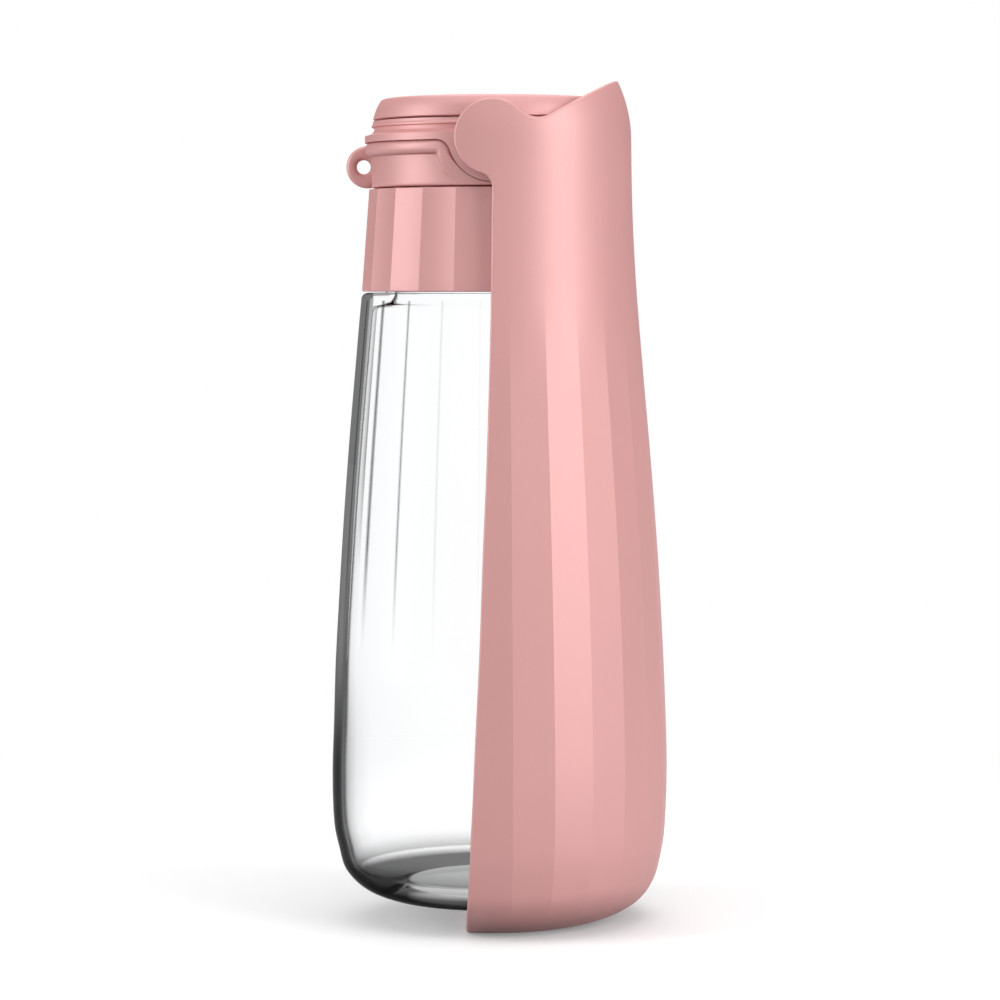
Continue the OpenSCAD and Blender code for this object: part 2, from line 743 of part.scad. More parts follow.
module valve_rotor() color(white_nylon) {
    tab_w = pocket_wall * 4;
    difference() {
        union() {
            translate([0, 0, rotor_z]) cylinder(r = disc_r, h = lid_z - rotor_z);
            rotate([0, 0, -twist_angle / 2])
                translate([disc_r - over, -tab_w / 2, rotor_z])
                cube([over + stop_ring_bore - disc_r + pocket_wall, tab_w, lid_z - rotor_z - run_gap]);
        }
        turning_ports(rotor_z, lid_z - rotor_z);
        stem_socket(rotor_z - over, lid_z - rotor_z + over * 2);
    }
}

module valve_knob() color(pink) {
    edge = lid_height / 5;
    rim_w = edge * 1.4;
    bar_top = lid_height - edge / 2;
    difference() {
        union() {
            translate([0, 0, lid_z]) rotate_extrude() polygon([
                [0, 0], [lid_r, 0], [lid_r - edge * 0.45, edge * 1.35], [lid_r - edge * 0.95, edge * 2.75],
                [lid_r - edge * 1.6, edge * 4.05], [lid_r - edge * 2.2, edge * 4.7],
                [lid_r - edge * 3, lid_height], [well_r + rim_w, lid_height], [well_r + edge / 2, bar_top],
                [well_r, lid_floor], [0, lid_floor]
            ]);
            intersection() {
                translate([-well_r, 0, lid_z]) rotate([90, 0, 90])
                    linear_extrude(height = well_r * 2)
                    polygon([
                        [-grip_w / 2, 0], [-grip_w / 2, bar_top - edge], [-grip_w / 2 + edge, bar_top],
                        [grip_w / 2 - edge, bar_top], [grip_w / 2, bar_top - edge], [grip_w / 2, 0]
                    ]);
                translate([0, 0, lid_z]) cylinder(r = well_r + edge / 4, h = lid_height);
            }
        }
        turning_ports(lid_z, lid_floor);
        stem_socket(lid_z - over, over + lid_height / 2);
    }
}

module valve_stem() color(white_nylon) {
    groove_z = lerp(hub_z, deck_top_z, 0.5);
    square_top = lid_z + lid_height / 2 - run_gap;
    difference() {
        union() {
            translate([0, 0, stem_z]) cylinder(r = stem_r, h = square_z - stem_z);
            translate([-stem_square / 2, -stem_square / 2, square_z])
                cube([stem_square, stem_square, square_top - square_z]);
        }
        translate([0, 0, groove_z - seal_cord / 2 - fit_gap])
            ring(stem_r + over, stem_r - seal_cord, seal_cord + fit_gap * 2);
        translate([0, 0, stem_z - over]) cylinder(r = screw_r + fit_gap, h = lid_z - stem_z + over);
    }
}

module stem_oring() color(soft_grey) {
    translate([0, 0, lerp(hub_z, deck_top_z, 0.5)]) torus(stem_r - seal_cord / 2, seal_cord);
}

module stem_washer() color(steel) {
    translate([0, 0, stem_z - washer_thick]) ring(washer_r, screw_r + fit_gap * 2, washer_thick);
}

module stem_screw() color(steel) {
    head_r = screw_r * 2.2;
    head_h = screw_r * 1.5;
    difference() {
        union() {
            translate([0, 0, stem_z - washer_thick - head_h]) cylinder(r = head_r, h = head_h);
            translate([0, 0, stem_z - washer_thick - over / 2])
                cylinder(r = screw_r, h = lid_z - stem_z + washer_thick - over / 2);
        }
        for (turn = [0, 90])
            translate([0, 0, stem_z - washer_thick - head_h]) rotate([0, 0, turn])
                cube([head_r * 1.2, head_r / 4, head_h], center = true);
    }
}

module vent_valve() color(soft_grey) {
    cap_r = air_r * 2.3;
    translate([-port_x, 0, 0]) rotate_extrude() polygon([
        [0, deck_z - cap_r * 0.4], [cap_r * 0.8, deck_z - cap_r * 0.3], [cap_r, deck_z - cap_r * 0.1],
        [cap_r, deck_z], [screw_r, deck_z], [screw_r, deck_top_z], [screw_r * 1.3, deck_top_z],
        [screw_r * 0.8, deck_top_z + seal_thick * 0.8], [0, deck_top_z + seal_thick * 0.8]
    ]);
}

trough();
hinge_bushes();
friction_washers();
bottle();
neck_gasket();
collar();
slip_ring();
spigot();
spigot_oring();
neck_ring();
head_core();
stop_ring();
seal_plate();
valve_rotor();
valve_knob();
valve_stem();
stem_oring();
stem_washer();
stem_screw();
vent_valve();
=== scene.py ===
import json
import math

import bmesh
import bpy
import numpy as np
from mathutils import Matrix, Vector
from mathutils.geometry import delaunay_2d_cdt
from mathutils.kdtree import KDTree


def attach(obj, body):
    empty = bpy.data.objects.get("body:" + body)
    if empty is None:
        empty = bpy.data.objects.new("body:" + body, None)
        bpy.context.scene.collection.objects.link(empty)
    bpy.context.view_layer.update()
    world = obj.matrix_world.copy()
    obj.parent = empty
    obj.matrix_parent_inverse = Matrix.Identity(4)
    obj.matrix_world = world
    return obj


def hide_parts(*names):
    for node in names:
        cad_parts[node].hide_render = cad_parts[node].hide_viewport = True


# Lengths in this script are written in millimetres and turned into metres in add_mesh
MM = 0.001

# Heights, as in the CAD model
HINGE_Z = 185.0
HEAD_Z = 173.9
SEAT_Z = 184.5
LID_Z = 189.85
SHOULDER_Z = 149.2
COLLAR_BOTTOM_Z = 149.5
COLLAR_TOP_Z = 173.6
COLLAR_LIP_Z = 170.9
MOUTH_Z = 167.0
BOTTLE_FOOT_Z = 5.7

# Radii and walls, as in the CAD model
TROUGH_R = 41.2
TROUGH_FOOT_R = 23.9
TROUGH_WALL = 1.4
TROUGH_BALL_R = 32.4
TROUGH_BALL_WALL = 1.3
TROUGH_FACETS = 26
BOTTLE_R = 38.8
BOTTLE_WAIST_R = 30.0
BOTTLE_FOOT_R = 27.0
BOTTLE_WALL = 2.9
BOTTLE_BASE = 5.6
PUNT = (
    (0.0, 2.75), (9.0, 2.72), (15.0, 2.65), (19.0, 2.5), (20.6, 2.2), (21.8, 1.5), (22.8, 0.85),
    (24.0, 0.35), (25.4, 0.08), (26.6, 0.0),
)
BOTTLE_FACETS = 22
NECK_R = 25.7
NECK_BORE_R = 23.2
THREAD_PITCH = 3.0
THREAD_DEPTH = 1.3
THREAD_TURNS = 1.5
THREAD_START_Z = 153.8
COLLAR_LOW_R = 31.59
COLLAR_TOP_R = 29.8
COLLAR_BORE_R = 27.4
COLLAR_LIP_R = 24.7
FLUTE_DEPTH = 0.22
HEAD_BALL_R = 30.8
SLEEVE_R = 29.2
CORE_R = 26.5
LUG_R = 10.2
LID_R = 28.8
LID_H = 5.0
WELL_R = 22.8
LID_FLOOR = 1.6
GRIP_W = 8.0
STUB_R = 1.8
PORT_X = 14.0
PORT_R = 4.0
AIR_R = 1.6
SEAT_FILLET_R = 3.2

# Rolled band of the neck ring: middle below the seat line, half height and rise
BAND_DROP = 1.5
BAND_HALF = 1.7
BAND_RISE = 1.5

# Carry eye, opposite the trough
EYE_X = -30.14
EYE_Z = 178.9
EYE_R = 5.0
EYE_THICK = 2.9
EYE_HOLE_X = -31.0
EYE_HOLE_R = 1.65

# Side outline of the trough, measured from the hinge
EAR_R = 8.9
EAR_FILLET_R = 3.4
CUT_BACK = 6.25
SADDLE_X = 10.6
SADDLE_R = 6.3
BEAK_X = 28.9
BEAK_RISE = 14.2

# Rounding of the trough's moulded edges, outside and inside, and the rows that carry it
RIM_OUT = 0.6
RIM_IN = 0.4
RIM_ROWS = (0.05, 0.14, 0.28, 0.44, 0.62)
RIM_CLEAR = 1.15

# Spacing of the trough's grid, low down and above, and of the rings in its foot
GRID_FINE = 0.8
GRID_COARSE = 1.4
GRID_FINE_REACH = 16.0
GRID_COLUMNS = 8
FOOT_RINGS = (5.0, 9.0, 13.0, 17.0, 20.5)
FAR_FROM_RIM = 9.0

# Outlines: share of the way from the near to the wide radius, and share of the height
TROUGH_FOOT_SHARES = (
    (0.171, 0.004), (0.437, 0.014), (0.651, 0.0275), (0.817, 0.047), (0.897, 0.071),
    (0.966, 0.108), (1.0, 0.184),
)
TROUGH_SIDE_SHARES = (
    (0.962, 0.27), (0.859, 0.378), (0.721, 0.486), (0.525, 0.604), (0.339, 0.703),
    (0.1505, 0.811), (0.063, 0.881), (0.016, 0.945),
)
CUT_SHARES = (
    (1.0, 0.0), (0.748, 0.142), (0.577, 0.269), (0.455, 0.355), (0.324, 0.484), (0.197, 0.59),
    (0.103, 0.7), (0.045, 0.79), (0.018, 0.9),
)
BOTTLE_FOOT_SHARES = (
    (0.145, 0.004), (0.364, 0.0125), (0.584, 0.027), (0.764, 0.047), (0.8555, 0.073),
    (0.968, 0.118), (1.0, 0.2),
)
BOTTLE_SIDE_SHARES = (
    (0.956, 0.29), (0.905, 0.395), (0.806, 0.51), (0.683, 0.632), (0.543, 0.748),
    (0.3755, 0.868), (0.2436, 0.96),
)

# Camera, in metres and degrees
CAMERA_LENS = 128.7
CAMERA_DISTANCE = 0.851
CAMERA_Z = 0.1519
CAMERA_TURN = 1.0
CAMERA_TILT = 3.5
CAMERA_SWING = 0.088

# Lamps: name, azimuth, elevation, distance, size, power and the height aimed at, in metres.
# Two upright side boxes, a low front fill, one from behind and a broad one for the shadow.
LAMPS = (
    ("key_box", -33, 10, 1.0, (0.55, 1.1), 9.9, 0.1),
    ("left_box", -167, 13, 1.0, (0.5, 1.0), 7.4, 0.1),
    ("front_fill", -90, 20, 1.5, (1.0, 0.8), 2.6, 0.1),
    ("far_box", 90, 50, 1.3, (0.9, 0.9), 2.6, 0.1),
    ("top_box", 60, 88, 1.1, (1.3, 1.3), 7.6, 0.0),
)

# Floor as seen, its own glow, where it fades into the backdrop (m), and the even light
FLOOR_HALF = 6000
FLOOR_SEEN = 0.93
FLOOR_GLOW = 0.19
FLOOR_FADE = (0.10, 0.34)
FLOOR_DULL = (0.08, 0.08, 0.08, 1)
WORLD_FILL = 0.11

# Colours are linear
PINK = (0.75, 0.372, 0.362)
PINK_DEEP = (0.67, 0.335, 0.325)
PINK_SHEEN = (1.0, 0.62, 0.61, 1)
NYLON = (0.78, 0.76, 0.70)
SILICONE = (0.66, 0.66, 0.68)
STEEL_DARK = (0.52, 0.53, 0.55)
STEEL_LIGHT = (0.68, 0.69, 0.71)
DRIFT_SCALE = 22.0
GRAIN_SCALE = 2600.0

# Clear wall: painted shade, how much light it passes by how far the wall turns away from the eye,
# in place of the dark edges of thick clear plastic
CLEAR_IOR = 1.012
CLEAR_SHADE = (0.72, 0.73, 0.73, 1)
CLEAR_UPPER = (
    (0.0, 1.0), (0.50, 0.97), (0.575, 0.86), (0.60, 0.46), (0.625, 0.09), (0.655, 0.08),
    (0.70, 0.19), (0.80, 0.16), (0.86, 0.08), (0.885, 0.01), (1.0, 0.01),
)
CLEAR_LOWER = (
    (0.0, 1.0), (0.36, 0.95), (0.47, 0.82), (0.54, 0.62), (0.60, 0.38), (0.65, 0.10),
    (0.69, 0.015), (1.0, 0.006),
)
CLEAR_INSIDE = ((0.0, 1.0), (0.78, 0.98), (0.84, 0.80), (0.88, 0.28), (0.93, 0.06))
CLEAR_CHANGE_Z = (35.0, 70.0)

# Clear base: painted shade at the inner corner by height over the inner floor, painted shade that
# makes the heel black, and a painted glow disc below
CLEAR_CORNER = ((0.0, 0.97), (0.05, 0.94), (0.09, 0.28), (0.22, 0.42), (0.5, 0.78), (1.0, 1.0))
CORNER_RISE = 8.0
HEEL_RISE = (3.0, 6.5)
HEEL_LIGHT = 0.035
HEEL_R = (22.5, 25.5)
DISC_R = (20.9, 19.6)
DISC_RISE = 4.0
DISC_GLOW = 0.42

# Painted dark facet lines (painted shade, in place of light bent at the facets' edges): turn
# against the facets' edges, band in shares of a facet, and heights they fade between. Then start,
# end, low and high value by how far the wall turns away.
LINE_SHIFT = 0.3
LINE_BAND = (0.40, 0.492)
LINE_Z = (62.0, 92.0)
LINE_TOP_GAP = 1.8
LINE_DEPTH = (0.0, 0.33, 0.08, 0.98)
LINE_SHARPNESS = (0.1, 0.5, 4.0, 0.45)


# ---------------------------------------------------------------- small helpers


def lerp(a, b, t):
    return a + (b - a) * t


def ease(t):
    u = min(1.0, max(0.0, t))
    return u * u * (3 - 2 * u)


def polar(r, angle):
    return np.array((r * math.cos(angle), r * math.sin(angle)))


def arc_lengths(p):
    steps = np.linalg.norm(np.diff(p, axis=0), axis=1)
    return np.concatenate(([0.0], np.cumsum(steps)))


def smooth_outline(points, steps):
    """A curve through the points, with the same tangents as the CAD outline."""
    p = np.array(points, float)
    t = arc_lengths(p)
    last = len(p) - 1

    def tangent(i):
        a, b = max(0, i - 1), min(last, i + 1)
        return (p[b] - p[a]) / (t[b] - t[a])

    out = []
    for i in range(last):
        h = t[i + 1] - t[i]
        for k in range(steps):
            u = k / steps
            out.append(
                (2 * u**3 - 3 * u * u + 1) * p[i]
                + (3 * u * u - 2 * u**3) * p[i + 1]
                + (u**3 - 2 * u * u + u) * h * tangent(i)
                + (u**3 - u * u) * h * tangent(i + 1)
            )
    out.append(p[last])
    return np.array(out)


def spread(shares, near_r, wide_r, start_z, height):
    return [(lerp(near_r, wide_r, s), start_z + z * height) for s, z in shares]


def facet_radius(r, angle, count, weight, flat_at=0.0):
    """Radius of a polygon's side at weight 1 and of a circle at weight 0."""
    turn = 2 * math.pi / count
    off = angle - flat_at - turn * round((angle - flat_at) / turn)
    return r * lerp(1.0, math.cos(turn / 2) / math.cos(off), weight)


def round_profile(points, radii, steps=5):
    """A polygon's corners replaced by arcs. radii holds one rounding per corner."""
    p = [np.array(v, float) for v in points]
    out = []
    n = len(p)
    for i in range(n):
        r = radii[i]
        a, b, c = p[i - 1], p[i], p[(i + 1) % n]
        u, v = a - b, c - b
        lu, lv = np.linalg.norm(u), np.linalg.norm(v)
        if r <= 0 or lu < 1e-9 or lv < 1e-9:
            out.append(b)
            continue
        u, v = u / lu, v / lv
        half = math.acos(max(-1.0, min(1.0, float(u @ v)))) / 2
        if half > math.pi / 2 - 0.02:
            out.append(b)
            continue
        cut = min(r / math.tan(half), 0.49 * lu, 0.49 * lv)
        rr = cut * math.tan(half)
        centre = b + (u + v) / np.linalg.norm(u + v) * (rr / math.sin(half))
        start, end = b + u * cut - centre, b + v * cut - centre
        a0, a1 = math.atan2(start[1], start[0]), math.atan2(end[1], end[0])
        turn = (a1 - a0 + math.pi) % (2 * math.pi) - math.pi
        for k in range(steps + 1):
            ang = a0 + turn * k / steps
            out.append(centre + rr * np.array((math.cos(ang), math.sin(ang))))
    return out


# ---------------------------------------------------------------- mesh building


def add_mesh(name, verts, faces, sharp_pairs=()):
    mesh = bpy.data.meshes.new(name)
    mesh.from_pydata(
        [tuple(float(c) * MM for c in v) for v in verts], [], [tuple(f) for f in faces]
    )
    mesh.update()
    mesh.polygons.foreach_set("use_smooth", [True] * len(mesh.polygons))
    if sharp_pairs:
        wanted = {frozenset(p) for p in sharp_pairs}
        for e in mesh.edges:
            if frozenset(e.vertices) in wanted:
                e.use_edge_sharp = True
    obj = bpy.data.objects.new(name, mesh)
    bpy.context.scene.collection.objects.link(obj)
    bm = bmesh.new()
    bm.from_mesh(mesh)
    bmesh.ops.recalc_face_normals(bm, faces=bm.faces)
    bm.to_mesh(mesh)
    bm.free()
    return obj


def sharpen(obj, degrees):
    obj.data.set_sharp_from_angle(angle=math.radians(degrees))


def ring(r, z, columns):
    """Points round a circle."""
    turns = (2 * math.pi * c / columns for c in range(columns))
    return [(r * math.cos(a), r * math.sin(a), z) for a in turns]


def skin(rows, closed=True):
    """Faces between rows of vertices, each row a loop or one point at the axis."""
    faces = []
    for low, high in zip(rows, rows[1:] + rows[:1] if closed else rows[1:]):
        columns = max(len(low), len(high))
        for c in range(columns if columns > 1 else 0):
            d = (c + 1) % columns
            if len(low) == 1:
                faces.append((low[0], high[d], high[c]))
            elif len(high) == 1:
                faces.append((low[c], low[d], high[0]))
            else:
                faces.append((low[c], low[d], high[d], high[c]))
    return faces


def stacked(count, size):
    """Rows of vertex numbers for rings of one size that follow each other."""
    return [list(range(k * size, (k + 1) * size)) for k in range(count)]


def turned_rows(loop, columns, radius=None):
    """Vertices and rows of a profile turned about Z. radius(r, angle, place) may bend it."""
    verts, rows = [], []
    for i, (r, z) in enumerate(loop):
        start = len(verts)
        if r < 1e-6:
            verts.append((0.0, 0.0, z))
        else:
            for c in range(columns):
                a = 2 * math.pi * c / columns
                rr = radius(r, a, i) if radius else r
                verts.append((rr * math.cos(a), rr * math.sin(a), z))
        rows.append(list(range(start, len(verts))))
    return verts, rows


def revolve(loop, columns, radius=None):
    """Vertices and faces of a closed profile turned about Z."""
    verts, rows = turned_rows(loop, columns, radius)
    return verts, skin(rows)


def joined(*parts):
    verts, faces = [], []
    for v, f in parts:
        start = len(verts)
        verts.extend(v)
        faces.extend(tuple(i + start for i in face) for face in f)
    return verts, faces


def along_y(part, flip=False):
    """A part turned about Z laid along Y at the hinge, on the near or far side."""
    verts, faces = part
    side = 1 if flip else -1
    return [(v[0], side * v[2], HINGE_Z + v[1]) for v in verts], faces


def thread(root_r, crest_r, start_z, root_w=1.2, crest_w=0.7, steps=72):
    """A closed screw ridge that fades in and out at its ends."""
    verts = []
    count = int(steps * THREAD_TURNS)
    for k in range(count + 1):
        a = 2 * math.pi * k / steps
        rise = start_z + THREAD_PITCH * k / steps
        grow = max(0.05, ease(min(k, count - k) / (steps / 12)))
        tip = lerp(root_r, crest_r, grow)
        flank = lerp(root_r, tip, 0.8)
        for r, z in (
            (root_r, -root_w / 2), (flank, -crest_w / 2 - 0.06), (tip, -crest_w / 4),
            (tip, crest_w / 4), (flank, crest_w / 2 + 0.06), (root_r, root_w / 2),
        ):
            verts.append((r * math.cos(a), r * math.sin(a), rise + z))
    rows = stacked(count + 1, 6)
    return verts, skin(rows, closed=False) + [tuple(rows[0]), tuple(rows[-1])]


# ---------------------------------------------------------------- the trough


class TroughForm:
    """Outer surface of the trough by angle and by arc length from the middle of its foot."""

    turn = 2 * math.pi / TROUGH_FACETS

    def __init__(self):
        points = [(TROUGH_FOOT_R, 0.0)]
        points += spread(TROUGH_FOOT_SHARES, TROUGH_FOOT_R, TROUGH_R, 0.0, HINGE_Z)
        points += spread(TROUGH_SIDE_SHARES, TROUGH_BALL_R, TROUGH_R, 0.0, HINGE_Z)
        for deg in range(0, 34, 2):
            a = math.radians(deg)
            points.append((TROUGH_BALL_R * math.cos(a), HINGE_Z + TROUGH_BALL_R * math.sin(a)))
        side = smooth_outline(points, 24)
        floor = np.array([(r, 0.0) for r in np.linspace(0.0, TROUGH_FOOT_R, 40)[:-1]])
        self.rz = np.vstack((floor, side))
        self.t = arc_lengths(self.rz)
        self.slope = np.gradient(self.rz, self.t, axis=0)
        self.top_t = self.t[-1]
        # Radius on a flat map that keeps angles, for the triangulation
        first = len(floor)
        grow = np.diff(self.t[first:]) * 2 / (self.rz[first:-1, 0] + self.rz[first + 1:, 0])
        self.rho = np.concatenate((self.t[: first + 1], TROUGH_FOOT_R * np.exp(np.cumsum(grow))))
        self.tree = KDTree(len(self.rz))
        for i, (r, z) in enumerate(self.rz):
            self.tree.insert((r, z, 0), i)
        self.tree.balance()

    def radius(self, t):
        return float(np.interp(t, self.t, self.rz[:, 0]))

    def height(self, t):
        return float(np.interp(t, self.t, self.rz[:, 1]))

    def weight(self, z):
        share = z / HINGE_Z
        return ease(share / 0.06) * (1 - ease((share - 0.665) / (0.82 - 0.665)))

    def facet_of(self, angle):
        """Angle of the middle of the facet that an angle lies in."""
        return self.turn * (math.floor(angle / self.turn) + 0.5)

    def point(self, angle, t):
        z = self.height(t)
        r = facet_radius(self.radius(t), angle, TROUGH_FACETS, self.weight(z), self.turn / 2)
        return np.array((r * math.cos(angle), r * math.sin(angle), z))

    def normal(self, angle, t, middle=None):
        """Normal at a point, taken as part of the facet with this middle."""
        if middle is None:
            middle = self.facet_of(angle)
        dr = float(np.interp(t, self.t, self.slope[:, 0]))
        dz = float(np.interp(t, self.t, self.slope[:, 1]))
        off = angle - middle
        w = self.weight(self.height(t))
        side = w * math.cos(self.turn / 2) * math.sin(off) / math.cos(off) ** 2
        side /= 1 + w * (math.cos(self.turn / 2) / math.cos(off) - 1)
        c, s = math.cos(angle), math.sin(angle)
        n = np.array((dz * (c + side * s), dz * (s - side * c), -dr))
        return n / np.linalg.norm(n)

    def wall(self, t):
        return lerp(TROUGH_WALL, TROUGH_BALL_WALL, ease((self.height(t) - HINGE_Z + 8.0) / 8.0))

    def place(self, p):
        """Angle and arc length of a point near the surface."""
        rho = math.hypot(p[0], p[1])
        _, i, _ = self.tree.find((rho, p[2], 0))
        a, b = max(0, i - 1), min(len(self.t) - 1, i + 1)
        d = self.rz[b] - self.rz[a]
        u = float(np.dot(np.array((rho, p[2])) - self.rz[a], d) / np.dot(d, d))
        return math.atan2(p[1], p[0]), float(lerp(self.t[a], self.t[b], min(1.0, max(0.0, u))))

    def angle_at(self, x, z, t):
        """Angle on the near side at which the surface at this height has this x."""
        angle = -math.acos(max(-1.0, min(1.0, x / self.radius(t))))
        for _ in range(12):
            r = facet_radius(self.radius(t), angle, TROUGH_FACETS, self.weight(z), self.turn / 2)
            angle = -math.acos(max(-1.0, min(1.0, x / r)))
        return angle

    def t_at(self, z):
        """Arc length at a height on the side."""
        start = np.searchsorted(self.t, TROUGH_FOOT_R - 1e-6)
        return float(np.interp(z, self.rz[start:, 1], self.t[start:]))


def side_arcs():
    """Fillet, ear and saddle of the trough's side outline, and where the beak's edge starts."""
    saddle_z = math.sqrt((EAR_R + SADDLE_R) ** 2 - SADDLE_X**2)
    fillet_turn = math.asin(EAR_FILLET_R / (EAR_R + EAR_FILLET_R))
    fillet_dir = math.radians(270) - fillet_turn
    fillet_c = polar(EAR_R + EAR_FILLET_R, fillet_dir)
    saddle_dir = math.atan2(saddle_z, SADDLE_X)
    run, lift = BEAK_X - SADDLE_X, BEAK_RISE - saddle_z
    exit_dir = math.atan2(lift, run) + math.asin(SADDLE_R / math.hypot(run, lift))
    saddle_c = np.array((SADDLE_X, saddle_z))
    leave = fillet_dir - math.pi
    arc = [fillet_c + polar(EAR_FILLET_R, leave * k / 15) for k in range(16)]
    arc += [polar(EAR_R, lerp(fillet_dir, saddle_dir, k / 96)) for k in range(1, 97)]
    for k in range(1, 25):
        bend = lerp(saddle_dir - math.pi, exit_dir - math.pi / 2, k / 24)
        arc.append(saddle_c + polar(SADDLE_R, bend))
    return arc, arc[-1], exit_dir


def cut_line():
    """The cut edge below the ear, from the foot up, measured from the hinge."""
    return smooth_outline([(-CUT_BACK * s, HINGE_Z * (h - 1)) for s, h in CUT_SHARES], 12)


def trough_edge(form):
    """Near half of the trough's cut edge, from the middle of the foot to the beak's tip."""
    arc, start, exit_dir = side_arcs()
    cut = np.vstack((cut_line(), [arc[0]]))
    half_floor = math.sqrt(TROUGH_FOOT_R**2 - CUT_BACK**2)
    out = []
    for y in np.linspace(0.0, -half_floor, 24)[:-1]:
        out.append(form.place((-CUT_BACK, y, 0.0)))
    t_end = form.t_at(HINGE_Z + arc[0][1])
    for t in np.linspace(TROUGH_FOOT_R, t_end, 190)[:-1]:
        z = form.height(t)
        out.append((form.angle_at(float(np.interp(z - HINGE_Z, cut[:, 1], cut[:, 0])), z, t), t))
    for x, z in arc:
        t = form.t_at(HINGE_Z + z)
        out.append((form.angle_at(x, HINGE_Z + z, t), t))
    first = out[-1][0]
    count = 60
    for k in range(1, count + 1):
        angle = lerp(first, 0.0, k / count)
        low, high = form.t_at(HINGE_Z + start[1] - 0.5), form.top_t
        for _ in range(40):
            mid = (low + high) / 2
            z = form.height(mid) - HINGE_Z
            line_x = start[0] + (z - start[1]) / math.tan(exit_dir)
            if form.radius(mid) * math.cos(angle) > line_x:
                low = mid
            else:
                high = mid
        out.append((angle, (low + high) / 2))
    return out


def side_polygon():
    """Closed outline of the trough from the side, run out far past its front."""
    arc, start, exit_dir = side_arcs()
    lowest = -HINGE_Z - 1.0
    far = start + polar(40.0, exit_dir)
    pts = [np.array((-CUT_BACK, lowest))] + list(cut_line()) + list(arc)
    return np.array(pts + [far, np.array((far[0], lowest))])


def inside_polygon(poly, x, z):
    """Whether a point lies in a closed outline."""
    hit = False
    j = len(poly) - 1
    for i in range(len(poly)):
        if (poly[i][1] > z) != (poly[j][1] > z):
            share = (z - poly[i][1]) / (poly[j][1] - poly[i][1])
            if x < lerp(poly[i][0], poly[j][0], share):
                hit = not hit
        j = i
    return hit


def rounding(depth, radius):
    """How far a rounded edge falls back at a distance from the edge."""
    if depth >= radius:
        return 0.0
    return radius - math.sqrt(max(0.0, radius**2 - (radius - depth) ** 2))


def rounded_normal(normal, inward, depth, radius):
    """Normal on a rounded edge: it turns away from the surface towards the edge."""
    if inward is None or depth >= radius:
        return normal
    s = (radius - depth) / radius
    return normal * math.sqrt(max(0.0, 1 - s * s)) - inward * s


def trough_items(form, loop, pts):
    """Points of the outer surface, and the facet edges among them.

    Each point: angle, arc length, distance from the cut edge, direction away from the edge.
    """
    n = len(loop)
    items, inwards = [], []
    for i in range(n):
        tangent = pts[(i + 1) % n] - pts[i - 1]
        tangent /= np.linalg.norm(tangent)
        inwards.append(np.cross(tangent, form.normal(*loop[i])))
        items.append((*loop[i], 0.0, inwards[i]))
    # Rows just inside the cut edge carry its rounding
    for i in range(n):
        for d in RIM_ROWS:
            items.append((*form.place(pts[i] + inwards[i] * d), d, inwards[i]))

    edge_tree = KDTree(n)
    for i, p in enumerate(pts):
        edge_tree.insert(Vector(p), i)
    edge_tree.balance()
    poly = side_polygon()
    facet_edges = []
    change = TROUGH_FOOT_R + GRID_FINE_REACH
    rows = list(np.arange(TROUGH_FOOT_R, change, GRID_FINE))
    rows += list(np.arange(change, form.top_t, GRID_COARSE))
    for c in range(-62, 63):
        angle = c * form.turn / GRID_COLUMNS
        before = None
        for t in rows:
            p = form.point(angle, t)
            d = edge_tree.find(Vector(p))[2]
            if d < RIM_CLEAR or not inside_polygon(poly, p[0], p[2] - HINGE_Z):
                before = None
                continue
            items.append((angle, t, d, None))
            if c % GRID_COLUMNS == 0:
                index = len(items) - 1
                if before is not None:
                    facet_edges.append((before, index))
                before = index
    for t in FOOT_RINGS:
        for c in range(0, 48, 1 if t > 12 else 2):
            angle = 2 * math.pi * c / 48 + 0.01
            p = form.point(angle, t)
            if p[0] > -CUT_BACK and edge_tree.find(Vector(p))[2] > RIM_CLEAR + 0.05:
                items.append((angle, t, FAR_FROM_RIM, None))
    return items, facet_edges


def set_trough_normals(mesh, form, data, shell_verts):
    """Exact normals, so that no triangle shows in the satin surface."""
    count = len(data)
    normals = []
    for face in mesh.polygons:
        ids = list(face.vertices)
        if max(ids) >= shell_verts:
            normals += [(0.0, 0.0, 0.0)] * len(ids)
            continue
        middle_angle = math.atan2(face.center[1], face.center[0])
        facet = form.facet_of(middle_angle)
        for v in ids:
            a, t, d, inward = data[v % count]
            if len(ids) == 4:
                normals.append(tuple(-inward))
                continue
            if abs(a - middle_angle) > math.pi:
                a += math.copysign(2 * math.pi, middle_angle - a)
            nrm = form.normal(a, t, facet if t > TROUGH_FOOT_R else None)
            side, rim = (1, RIM_OUT) if v < count else (-1, RIM_IN)
            normals.append(tuple(rounded_normal(side * nrm, inward, d, rim)))
    mesh.normals_split_custom_set(normals)


